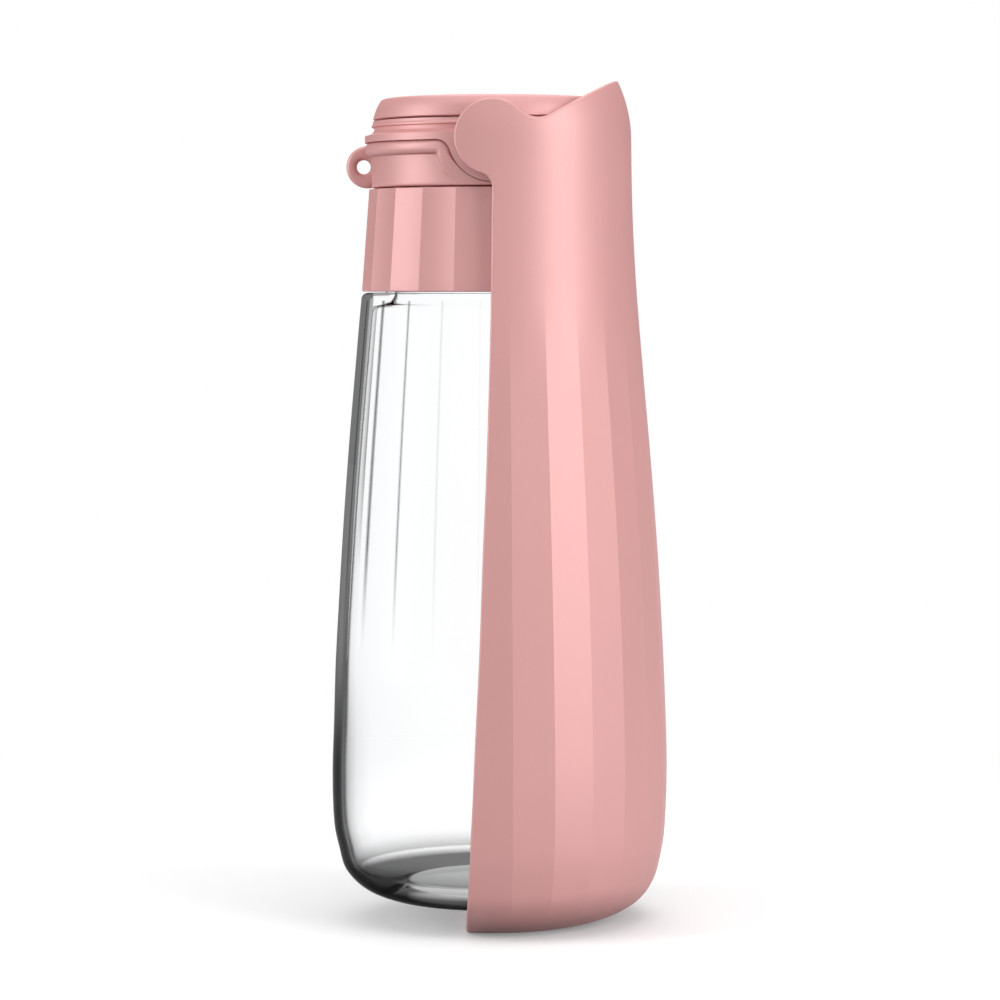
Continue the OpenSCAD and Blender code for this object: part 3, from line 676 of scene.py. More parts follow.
def build_trough():
    """Half shell of even wall with facets, moulded edges and two stub axles."""
    form = TroughForm()
    near = trough_edge(form)
    loop = near + [(-a, t) for a, t in reversed(near[1:-1])]
    n = len(loop)
    items, facet_edges = trough_items(form, loop, [form.point(a, t) for a, t in loop])

    flat = [
        Vector(polar(float(np.interp(t, form.t, form.rho)) * 0.01, a)) for a, t, _, _ in items
    ]
    found, _, tris, origin, _, _ = delaunay_2d_cdt(flat, facet_edges, [list(range(n))], 1, 1e-9)
    data, keep = [], {}
    for i, v in enumerate(found):
        if origin[i]:
            data.append(items[origin[i][0]])
            keep[origin[i][0]] = i
        else:
            arc_length = float(np.interp(math.hypot(*v) * 100, form.rho, form.t))
            data.append((math.atan2(v[1], v[0]), arc_length, FAR_FROM_RIM, None))
    outer, inner = [], []
    for a, t, d, _ in data:
        p, nrm = form.point(a, t), form.normal(a, t)
        outer.append(p - nrm * rounding(d, RIM_OUT))
        inner.append(p - nrm * (form.wall(t) - rounding(d, RIM_IN)))
    count = len(outer)
    verts = outer + inner
    faces = [tuple(f) for f in tris] + [tuple(v + count for v in reversed(f)) for f in tris]
    rim = [keep[i] for i in range(n)]
    faces += skin([rim, [v + count for v in rim]], closed=False)
    sharp = []
    for a, b in facet_edges:
        z = (form.height(items[a][1]) + form.height(items[b][1])) / 2
        if form.weight(z) > 0.1:
            sharp += [(keep[a], keep[b]), (keep[a] + count, keep[b] + count)]
    stub = revolve(
        round_profile([(0, 25.9), (STUB_R, 25.9), (STUB_R, 31.8), (0, 31.8)], [0, 0.3, 0, 0]), 48
    )
    shell_verts = len(verts)
    verts, faces = joined((verts, faces), along_y(stub), along_y(stub, True))
    obj = add_mesh("trough_shell_visual", verts, faces, sharp)
    set_trough_normals(obj.data, form, data, shell_verts)
    return obj


# ---------------------------------------------------------------- bottle and collar


def bottle_outline():
    """Side outline up to the shoulder, and the radius it ends at."""
    height = SHOULDER_Z - BOTTLE_FOOT_Z
    top_r = lerp(BOTTLE_WAIST_R, BOTTLE_R, BOTTLE_SIDE_SHARES[-1][0]) - 0.4
    points = [(BOTTLE_FOOT_R, BOTTLE_FOOT_Z)]
    points += spread(BOTTLE_FOOT_SHARES, BOTTLE_FOOT_R, BOTTLE_R, BOTTLE_FOOT_Z, height)
    points += spread(BOTTLE_SIDE_SHARES, BOTTLE_WAIST_R, BOTTLE_R, BOTTLE_FOOT_Z, height)
    points += [(top_r, SHOULDER_Z - 1.6)]
    return smooth_outline(points, 10), top_r


def bottle_weight(z):
    """How far the bottle is a polygon at a height."""
    share = (z - BOTTLE_FOOT_Z) / (SHOULDER_Z - BOTTLE_FOOT_Z)
    return ease((share - 0.31) / (0.74 - 0.31))


def build_bottle():
    """Clear bottle: facets that start over a round foot, rounded shoulder, threaded neck, punt."""
    outline, top_r = bottle_outline()
    grad = np.gradient(outline, axis=0)
    nrm = np.stack((grad[:, 1], -grad[:, 0]), axis=1)
    nrm /= np.linalg.norm(nrm, axis=1)[:, None]
    inner = outline - nrm * BOTTLE_WALL
    shoulder = []
    for deg in range(10, 91, 10):
        a = math.radians(deg)
        shoulder.append((top_r - 1.6 * (1 - math.cos(a)), SHOULDER_Z - 1.6 * (1 - math.sin(a))))
    outside = [tuple(p) for p in outline] + shoulder
    bore = NECK_BORE_R
    neck = [
        (NECK_R + 0.5, SHOULDER_Z), (NECK_R + 0.1, SHOULDER_Z + 0.15), (NECK_R, SHOULDER_Z + 0.6),
        (NECK_R, MOUTH_Z - 0.5), (NECK_R - 0.15, MOUTH_Z - 0.15), (NECK_R - 0.5, MOUTH_Z),
        (bore + 0.5, MOUTH_Z), (bore + 0.15, MOUTH_Z - 0.15), (bore, MOUTH_Z - 0.5),
        (bore, SHOULDER_Z + 0.5), (bore + 0.3, SHOULDER_Z - 0.9),
        (bore + 1.4, SHOULDER_Z - 2.2), (bore + 3.4, SHOULDER_Z - 2.8),
    ]
    lowest = BOTTLE_FOOT_Z + BOTTLE_BASE
    inside = [tuple(p) for p in inner[::-1] if lowest + 2.6 < p[1] < SHOULDER_Z - 4.2]
    inside = [(inside[0][0] - 0.7, SHOULDER_Z - 3.2)] + inside
    heel_r = inside[-1][0]
    floor = []
    for k in range(1, 9):
        u = k / 8 * math.pi / 2
        turned = lerp(heel_r, heel_r - 3.4, 1 - math.cos(u))
        floor.append((turned, lerp(inside[-1][1], lowest, math.sin(u))))
    inner_punt = [(25.0, lowest), (20.0, lowest + 0.1), (14.0, lowest + 0.2), (0.0, lowest + 0.3)]
    under = [(r, BOTTLE_FOOT_Z + lift) for r, lift in PUNT]
    loop = under + outside + neck + inside + floor + inner_punt
    first_inside = len(under) + len(outside)

    def weight(i):
        if not len(under) <= i < first_inside:
            return 0.0
        return bottle_weight(loop[i][1]) * (1.0 if i < len(under) + len(outline) else 0.85)

    columns = BOTTLE_FACETS * 8
    verts, rows = turned_rows(
        loop, columns, lambda r, a, i: facet_radius(r, a, BOTTLE_FACETS, weight(i))
    )
    faces = skin(rows)
    sharp, inward = [], []
    for i, row in enumerate(rows):
        inward += [float(i >= first_inside)] * len(row)
        if len(under) <= i < len(under) + len(outline) and weight(i) > 0.1:
            sharp += [(row[c], rows[i + 1][c]) for c in range(4, columns, 8)]
    ridge = thread(NECK_R - 0.3, NECK_R + THREAD_DEPTH - 0.05, THREAD_START_Z)
    inward += [0.0] * len(ridge[0])
    verts, faces = joined((verts, faces), ridge)
    obj = add_mesh("bottle_shell", verts, faces, sharp)
    mark = obj.data.attributes.new("inner_wall", "FLOAT", "POINT")
    mark.data.foreach_set("value", inward)
    return obj


def build_collar():
    """Union nut with slightly hollow flutes outside and a screw ridge inside."""
    outer = round_profile(
        [
            (COLLAR_BORE_R, COLLAR_BOTTOM_Z), (COLLAR_LOW_R, COLLAR_BOTTOM_Z),
            (COLLAR_TOP_R, COLLAR_TOP_Z), (COLLAR_LIP_R, COLLAR_TOP_Z),
            (COLLAR_LIP_R, COLLAR_LIP_Z), (COLLAR_BORE_R, COLLAR_LIP_Z),
        ],
        [0.3, 0.35, 0.35, 0.3, 0.2, 0.3],
    )
    loop = []
    for i, p in enumerate(outer):
        q = outer[(i + 1) % len(outer)]
        parts = max(1, int(np.linalg.norm(q - p) / 2.0))
        loop += [tuple(lerp(p, q, k / parts)) for k in range(parts)]

    def radius(r, a, _):
        on = ease((r - COLLAR_TOP_R + 1.4) / 0.9)
        turn = 2 * math.pi / BOTTLE_FACETS
        off = abs(a - turn * round(a / turn)) / (turn / 2)
        return facet_radius(r, a, BOTTLE_FACETS, on) - FLUTE_DEPTH * (1 - off**2) * on

    ridge = thread(COLLAR_BORE_R + 0.3, NECK_R + 0.35, THREAD_START_Z - THREAD_PITCH / 2)
    verts, faces = joined(revolve(loop, BOTTLE_FACETS * 12, radius), ridge)
    obj = add_mesh("collar_shell", verts, faces)
    sharpen(obj, 12)
    return obj


# ---------------------------------------------------------------- the head


def seat_line():
    """Parting line between neck ring and head, from far left to the middle, from the hinge."""
    level = SEAT_Z - 0.1 - HINGE_Z
    reach = LUG_R + 0.15 + SEAT_FILLET_R
    centre = np.array((-math.sqrt(reach**2 - (SEAT_FILLET_R - level) ** 2), level - SEAT_FILLET_R))
    stop = math.atan2(-centre[1], -centre[0])
    line = [np.array((x, level)) for x in np.linspace(-SLEEVE_R, centre[0], 40)[:-1]]
    for k in range(25):
        line.append(centre + polar(SEAT_FILLET_R, lerp(math.pi / 2, stop, k / 24)))
    start = math.pi + stop
    for k in range(1, 61):
        line.append(polar(LUG_R + 0.15, lerp(start, 1.5 * math.pi, k / 60)))
    return line


def build_neck_ring():
    """Sleeve whose upper edge follows the head's seat, with a rolled band just under the edge."""
    half = seat_line()
    tree = KDTree(len(half))
    for i, p in enumerate(half):
        tree.insert((p[0], p[1], 0), i)
    tree.balance()
    quarter = [(math.acos(max(-1.0, p[0] / SLEEVE_R)), HINGE_Z + p[1]) for p in half]
    tops = list(quarter)
    tops += [(math.pi - a, z) for a, z in reversed(quarter[:-1])]
    tops += [(-a, z) for a, z in reversed(tops[1:-1])]

    def bump(x, z):
        away = tree.find((-abs(x), z - HINGE_Z, 0))[2]
        u = abs(away - BAND_DROP) / BAND_HALF
        return BAND_RISE * (1 - u**2.4) ** 0.5 if u < 1 else 0.0

    low = HEAD_Z
    shares = [0.0, 0.01, 0.03, 0.06] + list(np.linspace(0.1, 0.6, 11))
    shares += list(np.linspace(0.62, 0.98, 37)) + [0.99, 1.0]
    verts = []
    for angle, top in tops:
        x0 = SLEEVE_R * math.cos(angle)
        plain = ease((abs(x0) - 14) / 8)
        column = []
        for share in shares:
            z = lerp(low, top, share)
            limit = math.sqrt(HEAD_BALL_R**2 - (z - HINGE_Z) ** 2)
            r = min(SLEEVE_R + bump(x0, z), max(SLEEVE_R, limit)) - rounding(z - low, 0.5)
            column.append((r, z))
        inner = CORE_R + 0.05
        column += [(column[-1][0] - 1.0, top), (inner, top)]
        column += [(inner, lerp(top, low, k / 4)) for k in range(1, 5)]
        for r, z in column:
            x = lerp(x0, r * math.cos(angle), plain)
            y = math.copysign(math.sqrt(max(0.0, r * r - x * x)), math.sin(angle))
            if abs(math.sin(angle)) < 1e-9:
                x, y = math.copysign(r, x0), 0.0
            verts.append((x, y, z))
    faces = skin(stacked(len(tops), len(verts) // len(tops)))
    verts, faces = joined((verts, faces), carry_eye())
    obj = add_mesh("neck_ring_visual", verts, faces)
    sharpen(obj, 40)
    return obj


def carry_eye():
    """Rounded loop for a cord: a ring whose hole sits off its centre, away from the sleeve."""
    verts = []
    around, section = 72, 24
    for k in range(around):
        a = 2 * math.pi * k / around
        hole = np.array((EYE_HOLE_X, EYE_Z)) + polar(EYE_HOLE_R, a)
        rim = np.array((EYE_X, EYE_Z)) + polar(EYE_R, a)
        mid, reach = (hole + rim) / 2, (rim - hole) / 2
        for m in range(section):
            b = 2 * math.pi * m / section
            along = math.copysign(abs(math.cos(b)) ** 0.8, math.cos(b))
            across = math.copysign(abs(math.sin(b)) ** 0.8, math.sin(b))
            p = mid + reach * along
            verts.append((p[0], EYE_THICK / 2 * across, p[1]))
    return verts, skin(stacked(around, section))


def build_head_fillets():
    """Corners of the head that fill the space between its flange and the round hinge lugs."""
    line = seat_line()[39:64]
    corner = np.array((-LUG_R + 1.0, SEAT_Z + 0.3 - HINGE_Z))
    parts = []
    for side_x in (1, -1):
        for side_y in (1, -1):
            verts, faces = [], []
            steps = 6
            for p in line:
                start = p + np.array((0.04, 0.07))
                for k in range(steps + 1):
                    q = lerp(start, corner, k / steps)
                    ball = HEAD_BALL_R - 0.12
                    y = math.sqrt(ball**2 - float(q @ q))
                    verts.append((side_x * q[0], -side_y * y, HINGE_Z + q[1]))
                    verts.append((side_x * q[0], -side_y * (CORE_R - 0.3), HINGE_Z + q[1]))
            w = 2 * (steps + 1)
            for i in range(len(line) - 1):
                for k in range(steps):
                    a, b = i * w + 2 * k, (i + 1) * w + 2 * k
                    faces.append((a, a + 2, b + 2, b))
                    faces.append((a + 1, b + 1, b + 3, a + 3))
                faces.append((i * w, (i + 1) * w, (i + 1) * w + 1, i * w + 1))
                end = i * w + w
                faces.append((end - 2, end - 1, end + w - 1, end + w - 2))
            for i in (0, len(line) - 1):
                for k in range(steps):
                    a = i * w + 2 * k
                    faces.append((a, a + 1, a + 3, a + 2))
            parts.append((verts, faces))
    verts, faces = joined(*parts)
    obj = add_mesh("head_fillets", verts, faces)
    sharpen(obj, 40)
    return obj


def plate(outline_r, z, holes, up):
    """A flat disc with round holes; returns the rings of its vertices as well."""
    flat, rings = [], []
    for x, y, r, count in ((0.0, 0.0, outline_r, 160), *((*hole, 48) for hole in holes)):
        start = len(flat)
        flat += [Vector((x + v[0], y + v[1])) for v in ring(r, z, count)]
        rings.append(list(range(start, len(flat))))
    loops = [rings[0]] + [r[::-1] for r in rings[1:]]
    found, _, tris, origin, _, _ = delaunay_2d_cdt([v * 0.1 for v in flat], [], loops, 1, 1e-9)
    keep = {o: i for i, near in enumerate(origin) for o in near}
    faces = []
    for f in tris:
        c = sum((found[v] for v in f), Vector((0, 0))) / len(f) * 10
        if all((c[0] - x) ** 2 + (c[1] - y) ** 2 > (r * 0.995) ** 2 for x, y, r in holes):
            faces.append(tuple(f) if up else tuple(f)[::-1])
    verts = [(v[0] * 10, v[1] * 10, z) for v in found]
    return verts, faces, [[keep[i] for i in loop] for loop in rings]


def build_lid():
    """Twist lid: rounded rim, sunk finger well, grip bar across it and two ports in its floor."""
    z0 = LID_Z
    holes = ((0.0, -PORT_X, PORT_R), (0.0, PORT_X, AIR_R))
    rim = round_profile(
        [
            (28.4, z0), (LID_R, z0 + 0.25), (27.9, z0 + 2.9), (LID_R - 2.1, z0 + LID_H),
            (WELL_R + 1.2, z0 + LID_H), (WELL_R, z0 + LID_FLOOR), (WELL_R - 1.6, z0 + LID_FLOOR),
        ],
        [0, 0.2, 6.0, 1.5, 0.7, 0.9, 0],
        8,
    )
    top_v, top_f, top_rings = plate(rim[-1][0], rim[-1][1], holes, True)
    low_v, low_f, low_rings = plate(rim[0][0], rim[0][1], holes, False)
    verts, faces = joined((top_v, top_f), (low_v, low_f))
    shift = len(top_v)
    rows = [[shift + v for v in low_rings[0]]]
    for r, z in rim[1:-1]:
        circle = ring(r, z, len(top_rings[0]))
        rows.append(list(range(len(verts), len(verts) + len(circle))))
        verts += circle
    faces += skin(rows + [list(top_rings[0])], closed=False)
    for upper, lower in zip(top_rings[1:], low_rings[1:]):
        faces += skin([upper, [shift + v for v in lower]], closed=False)
    half, foot, bar_top = GRIP_W / 2, LID_FLOOR - 0.02, LID_H - 0.5
    section = round_profile(
        [
            (-half - 1.0, 0.9), (-half - 1.0, foot), (-half, LID_FLOOR), (-half + 0.25, bar_top),
            (half - 0.25, bar_top), (half, LID_FLOOR), (half + 1.0, foot), (half + 1.0, 0.9),
        ],
        [0, 0, 0.9, 1.3, 1.3, 0.9, 0, 0],
        8,
    )
    stations = np.linspace(-WELL_R - 0.7, WELL_R + 0.7, 41)
    bar = [(x, y, z0 + z) for x in stations for y, z in section]
    rows = stacked(len(stations), len(section))
    bar_faces = skin(rows, closed=False) + [tuple(rows[0]), tuple(reversed(rows[-1]))]
    verts, faces = joined((verts, faces), (bar, bar_faces))
    obj = add_mesh("twist_lid", verts, faces)
    sharpen(obj, 35)
    return obj


# ---------------------------------------------------------------- materials


def new_material(name):
    mat = bpy.data.materials.new(name)
    mat.use_nodes = True
    return mat, mat.node_tree, mat.node_tree.nodes["Principled BSDF"]


def set_inputs(tree, node, values):
    """Link each input to a socket, or set it to a plain value."""
    for key, value in values.items():
        if isinstance(value, bpy.types.NodeSocket):
            tree.links.new(value, node.inputs[key])
        else:
            node.inputs[key].default_value = value


def add_node(tree, kind, **values):
    node = tree.nodes.new(kind)
    for key, value in values.items():
        if key in node.inputs:
            set_inputs(tree, node, {key: value})
        else:
            setattr(node, key, value)
    return node


def calc(tree, operation, *values, kind="ShaderNodeMath", output="Value"):
    """Result of a maths node, from numbers or sockets."""
    node = add_node(tree, kind, operation=operation)
    set_inputs(tree, node, dict(enumerate(values)))
    return node.outputs[output]


def vector_length(tree, vector):
    return calc(tree, "LENGTH", vector, kind="ShaderNodeVectorMath")


def span(tree, value, start, end, low=0.0, high=1.0, curve="SMOOTHSTEP"):
    """A value mapped from one range to another and held at the ends."""
    node = add_node(tree, "ShaderNodeMapRange", interpolation_type=curve)
    set_inputs(
        tree, node,
        {"Value": value, "From Min": start, "From Max": end, "To Min": low, "To Max": high},
    )
    return node.outputs["Result"]


def colour_ramp(tree, value, stops):
    """Colour by value. Each stop has a place and a colour."""
    node = add_node(tree, "ShaderNodeValToRGB", Fac=value)
    elements = node.color_ramp.elements
    while len(elements) < len(stops):
        elements.new(0.5)
    for element, (place, colour) in zip(elements, stops):
        element.position = place
        element.color = (*colour, 1)
    return node.outputs["Color"]


def mix_colour(tree, fac, first, second, blend="MIX"):
    node = add_node(
        tree, "ShaderNodeMixRGB", blend_type=blend, Fac=fac, Color1=first, Color2=second
    )
    return node.outputs["Color"]


def mix_shader(tree, fac, first, second):
    node = add_node(tree, "ShaderNodeMixShader")
    set_inputs(tree, node, {"Fac": fac, 1: first, 2: second})
    return node.outputs["Shader"]


def set_surface(tree, shader):
    tree.links.new(shader, tree.nodes["Material Output"].inputs["Surface"])


def object_coords(tree):
    return add_node(tree, "ShaderNodeTexCoord").outputs["Object"]


def noise(tree, vector, scale, detail=2.0, **more):
    node = add_node(
        tree, "ShaderNodeTexNoise", Vector=vector, Scale=scale, Detail=detail, **more
    )
    return node.outputs["Fac"]


def moulded_plastic(name, colour, rough, vary=0.03, grain=0.00012, sheen=None):
    """Satin injection-moulded plastic: fine spark-eroded grain, colour drift and gloss drift."""
    mat, tree, bsdf = new_material(name)
    coords = object_coords(tree)
    broad = noise(tree, coords, DRIFT_SCALE)
    fine = noise(tree, coords, GRAIN_SCALE, Roughness=0.6)
    dark = [c * (1 - vary) for c in colour]
    light = [min(1.0, c * (1 + vary * 0.6)) for c in colour]
    bump = add_node(tree, "ShaderNodeBump", Strength=0.18, Distance=grain, Height=fine)
    inputs = {
        "Base Color": colour_ramp(tree, broad, ((0.3, dark), (0.7, light))),
        "Normal": bump.outputs["Normal"],
        "Roughness": span(tree, broad, 0.0, 1.0, rough - 0.04, rough + 0.05, "LINEAR"),
    }
    if sheen:
        inputs.update({"IOR": 2.0, "Specular IOR Level": 1.0, "Specular Tint": sheen})
    set_inputs(tree, bsdf, inputs)
    return mat


def painted_wall_shade(tree, facing, z, reach, inner_wall):
    """Painted shade: light that the clear wall passes, darkened by how far it turns away from the
    eye.
    """

    def edge_ramp(stops):
        return colour_ramp(tree, facing, [(at, (v, v * 1.005, v * 1.01)) for at, v in stops])

    def between(value, limits, *ends):
        return span(tree, value, *(limit * MM for limit in limits), *ends)

    outside = mix_colour(
        tree, between(z, CLEAR_CHANGE_Z), edge_ramp(CLEAR_LOWER), edge_ramp(CLEAR_UPPER)
    )

    # Painted shade: the rounded corner round the inner floor is darker, standing in for a thick
    # base that bends the light away
    floor_z = BOTTLE_FOOT_Z + BOTTLE_BASE
    rise = between(z, (floor_z, floor_z + CORNER_RISE), 0.0, 1.0, "LINEAR")
    corner = colour_ramp(tree, rise, [(at, (v, v, v)) for at, v in CLEAR_CORNER])
    inside = mix_colour(tree, 1.0, edge_ramp(CLEAR_INSIDE), corner, "MULTIPLY")

    # Painted shade: the turned-in heel of the outside wall is painted nearly black
    turned = between(z, [BOTTLE_FOOT_Z + h for h in HEEL_RISE], HEEL_LIGHT, 1.0)
    heel = mix_colour(tree, 1.0, outside, turned, "MULTIPLY")
    outside = mix_colour(tree, between(reach, HEEL_R), outside, heel)
    return mix_colour(tree, inner_wall, outside, inside)


def painted_glow_disc(tree, z, reach):
    """Painted glow: the hollow under the base glows, standing in for the white table shown through
    it as a pale disc.
    """
    disc = span(tree, reach, DISC_R[0] * MM, DISC_R[1] * MM)
    low = calc(tree, "LESS_THAN", z, (BOTTLE_FOOT_Z + DISC_RISE) * MM)
    return calc(tree, "MULTIPLY", calc(tree, "MULTIPLY", disc, low), DISC_GLOW)


def painted_facet_lines(tree, facing, place, inner_wall):
    """Strength of the painted dark lines (painted shade) along the facets, which fade out down the
    bottle.
    """
    z = place["Z"]
    angle = calc(tree, "ARCTAN2", place["Y"], place["X"])
    turns = calc(
        tree, "MULTIPLY_ADD", angle, BOTTLE_FACETS / (2 * math.pi), BOTTLE_FACETS + LINE_SHIFT
    )
    off = calc(tree, "PINGPONG", calc(tree, "FRACT", turns), 0.5)
    line = span(tree, off, *LINE_BAND, curve="LINEAR")
    backfacing = add_node(tree, "ShaderNodeNewGeometry").outputs["Backfacing"]
    strength = calc(tree, "POWER", line, span(tree, facing, *LINE_SHARPNESS, "LINEAR"))
    for factor in (
        span(tree, z, LINE_Z[0] * MM, LINE_Z[1] * MM),
        span(tree, facing, *LINE_DEPTH),
        calc(tree, "LESS_THAN", z, (SHOULDER_Z - LINE_TOP_GAP) * MM),
        calc(tree, "SUBTRACT", 1.0, backfacing),
        calc(tree, "SUBTRACT", 1.0, inner_wall),
    ):
        strength = calc(tree, "MULTIPLY", strength, factor)
    return strength


def clear_plastic(name):
    """Clear bottle plastic with painted shade where a wall is seen edge on and along the facets,
    and a painted glow under its base.
    """
    mat, tree, bsdf = new_material(name)
    coords = object_coords(tree)
    place = add_node(tree, "ShaderNodeSeparateXYZ", Vector=coords).outputs
    across = calc(
        tree, "MULTIPLY", coords, (1.0, 1.0, 0.0), kind="ShaderNodeVectorMath", output="Vector"
    )
    reach = vector_length(tree, across)
    facing = add_node(tree, "ShaderNodeLayerWeight", Blend=0.5).outputs["Facing"]
    inner_wall = add_node(
        tree, "ShaderNodeAttribute", attribute_name="inner_wall"
    ).outputs["Fac"]
    wall = painted_wall_shade(tree, facing, place["Z"], reach, inner_wall)
    lines = painted_facet_lines(tree, facing, place, inner_wall)
    # Base colour holds the painted shade and the painted facet lines; emission is the painted glow
    # under the base
    set_inputs(tree, bsdf, {
        "Base Color": mix_colour(tree, lines, wall, (0.02, 0.02, 0.022, 1)),
        "Emission Color": (1, 1, 1, 1),
        "Emission Strength": painted_glow_disc(tree, place["Z"], reach),
        "Transmission Weight": 1.0,
        "Roughness": 0.0,
        "IOR": CLEAR_IOR,
        "Coat Weight": 0.05,
        "Coat Roughness": 0.02,
    })

    # Shadows and scattered light pass straight through
    path = add_node(tree, "ShaderNodeLightPath").outputs
    passing = calc(tree, "MAXIMUM", path["Is Shadow Ray"], path["Is Diffuse Ray"])
    through = add_node(tree, "ShaderNodeBsdfTransparent", Color=CLEAR_SHADE)
    set_surface(
        tree, mix_shader(tree, passing, bsdf.outputs["BSDF"], through.outputs["BSDF"])
    )
    return mat


def soft_rubber(name, colour):
    """Silicone: slightly translucent, matt, with a bloom of dust in its colour."""
    mat = moulded_plastic(name, colour, rough=0.55, vary=0.05, grain=0.0001)
    bsdf = mat.node_tree.nodes["Principled BSDF"]
    set_inputs(mat.node_tree, bsdf, {"Subsurface Weight": 0.15, "Subsurface Scale": 0.002})
    return mat


def steel(name):
    """Stainless steel with fine streaks along the screw's axis."""
    mat, tree, bsdf = new_material(name)
    stretch = add_node(
        tree, "ShaderNodeMapping", Vector=object_coords(tree), Scale=(900.0, 900.0, 60.0)
    )
    streaks = noise(tree, stretch.outputs["Vector"], 1.0, 3.0)
    set_inputs(tree, bsdf, {
        "Base Color": colour_ramp(tree, streaks, ((0.0, STEEL_DARK), (1.0, STEEL_LIGHT))),
        "Roughness": span(tree, streaks, 0.0, 1.0, 0.22, 0.42, "LINEAR"),
        "Metallic": 1.0,
    })
    return mat


def dress(obj, mat):
    slots = obj.data.materials
    if not slots:
        slots.append(mat)
    for i in range(len(slots)):
        slots[i] = mat


# ---------------------------------------------------------------- camera, stage and light


def make_camera():
    data = bpy.data.cameras.new("camera")
    data.sensor_width = 36.0
    data.lens = CAMERA_LENS
    data.clip_start, data.clip_end = 0.05, 20.0
    cam = bpy.data.objects.new("camera", data)
    bpy.context.scene.collection.objects.link(cam)
    turn = math.radians(CAMERA_TURN)
    cam.location = (
        CAMERA_DISTANCE * math.sin(turn), -CAMERA_DISTANCE * math.cos(turn), CAMERA_Z
    )
    cam.rotation_euler = (
        math.radians(90 - CAMERA_TILT), 0.0, turn - math.radians(CAMERA_SWING)
    )
    bpy.context.scene.camera = cam


def seen_by_eye(tree, rays):
    """1 for camera rays and for the rays named, such as those through the clear wall."""
    path = add_node(tree, "ShaderNodeLightPath").outputs
    result = path["Is Camera Ray"]
    for ray in rays:
        result = calc(tree, "MAXIMUM", result, path[ray])
    # Light that the object itself scatters sees the dull table and the dim room instead
    direct = calc(tree, "LESS_THAN", path["Diffuse Depth"], 0.5)
    return calc(tree, "MULTIPLY", result, direct)


def make_floor():
    """White table: it glows for the eye so that it meets the backdrop, and keeps the shadow."""
    half = FLOOR_HALF
    corners = [(-half, -half, 0), (half, -half, 0), (half, half, 0), (-half, half, 0)]
    floor = add_mesh("floor", corners, [(0, 1, 2, 3)])
    mat, tree, bsdf = new_material("white_floor")
    tree.nodes.remove(bsdf)
    coords = object_coords(tree)
    stops = ((0.0, (FLOOR_SEEN - 0.01,) * 3), (1.0, (FLOOR_SEEN + 0.01,) * 3))
    cloudy = colour_ramp(tree, noise(tree, coords, 6.0, 1.0), stops)
    near = add_node(tree, "ShaderNodeBsdfDiffuse", Color=cloudy)
    glow = add_node(tree, "ShaderNodeEmission", Strength=FLOOR_GLOW)
    lit = add_node(tree, "ShaderNodeAddShader")
    set_inputs(tree, lit, {0: near.outputs["BSDF"], 1: glow.outputs["Emission"]})
    far = add_node(tree, "ShaderNodeEmission", Strength=1.0)
    away = span(tree, vector_length(tree, coords), *FLOOR_FADE)
    shown = mix_shader(tree, away, lit.outputs["Shader"], far.outputs["Emission"])
    dull = add_node(tree, "ShaderNodeBsdfDiffuse", Color=FLOOR_DULL)
    seen = seen_by_eye(tree, ("Is Transmission Ray", "Is Glossy Ray"))
    set_surface(tree, mix_shader(tree, seen, dull.outputs["BSDF"], shown))
    dress(floor, mat)


def make_world():
    world = bpy.data.worlds.new("studio")
    bpy.context.scene.world = world
    world.use_nodes = True
    tree = world.node_tree
    tree.nodes.clear()
    out = add_node(tree, "ShaderNodeOutputWorld")
    fill, white = (
        add_node(tree, "ShaderNodeBackground", Color=(1, 1, 1, 1), Strength=strength)
        .outputs["Background"]
        for strength in (WORLD_FILL, 1.0)
    )
    seen = seen_by_eye(tree, ("Is Transmission Ray",))
    tree.links.new(mix_shader(tree, seen, fill, white), out.inputs["Surface"])


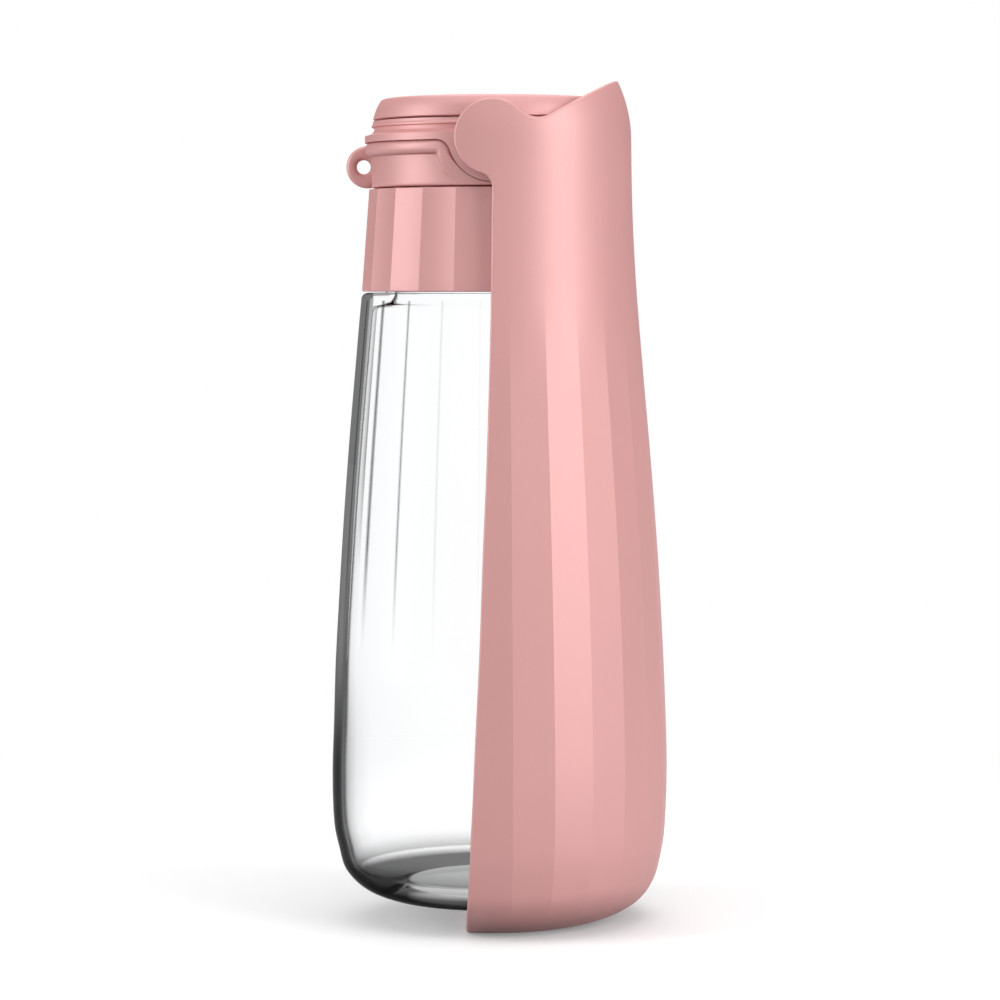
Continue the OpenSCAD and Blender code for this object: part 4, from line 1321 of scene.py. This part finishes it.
def add_lamp(name, azimuth, elevation, distance, size, power, aim_z):
    """A rectangular soft lamp. Azimuth is measured from +X, as in plan."""
    data = bpy.data.lights.new(name, "AREA")
    data.shape = "RECTANGLE"
    data.size, data.size_y = size
    data.energy = power
    lamp = bpy.data.objects.new(name, data)
    bpy.context.scene.collection.objects.link(lamp)
    a, e = math.radians(azimuth), math.radians(elevation)
    away = Vector((math.cos(a) * math.cos(e), math.sin(a) * math.cos(e), math.sin(e)))
    spot = away * distance
    lamp.location = spot + Vector((0, 0, aim_z))
    lamp.rotation_euler = spot.to_track_quat("Z", "Y").to_euler()


# ---------------------------------------------------------------- the scene

bpy.context.scene.view_settings.view_transform = "Standard"
make_camera()
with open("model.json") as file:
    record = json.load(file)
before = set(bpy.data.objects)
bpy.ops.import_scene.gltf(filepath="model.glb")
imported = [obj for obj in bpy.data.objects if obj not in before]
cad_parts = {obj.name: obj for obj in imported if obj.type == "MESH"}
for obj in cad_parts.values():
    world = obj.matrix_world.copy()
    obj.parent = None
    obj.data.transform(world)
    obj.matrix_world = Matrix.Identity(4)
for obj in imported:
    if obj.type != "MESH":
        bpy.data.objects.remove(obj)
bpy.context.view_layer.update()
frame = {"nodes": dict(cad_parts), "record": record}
nodes = frame["nodes"]

pink_shell = moulded_plastic("pink_satin_shell", PINK, rough=0.48, sheen=PINK_SHEEN)
pink_part = moulded_plastic("pink_satin_head", PINK, rough=0.46, sheen=PINK_SHEEN)
pink_inner = moulded_plastic("pink_inner", PINK_DEEP, rough=0.45)
nylon = moulded_plastic("natural_nylon", NYLON, rough=0.38)
rubber = soft_rubber("silicone", SILICONE)
clear = clear_plastic("clear_wall")
metal = steel("stainless")

CAD_MATERIALS = {
    "trough_shell": pink_shell, "pink_moulding": pink_part, "inner_moulding": pink_inner,
    "clear_bottle": clear, "seal": rubber, "nylon": nylon, "steel": metal,
}
for part in frame["record"]["subparts"]:
    dress(nodes[part["node"]], CAD_MATERIALS[part["material_slot"]])

PIECES = (
    (build_trough, "trough", ("trough",), "trough_shell"),
    (build_bottle, "bottle", ("bottle",), "clear_bottle"),
    (build_collar, "collar", ("collar",), "pink_moulding"),
    (build_neck_ring, "head", ("neck_ring",), "pink_moulding"),
    (build_head_fillets, "head", (), "pink_moulding"),
    (build_lid, "lid", ("valve_knob",), "pink_moulding"),
)
for make, body, replaced, slot in PIECES:
    piece = make()
    dress(piece, CAD_MATERIALS[slot])
    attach(piece, body)
    if replaced:
        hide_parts(*replaced)

make_floor()
make_world()
for lamp_values in LAMPS:
    add_lamp(*lamp_values)
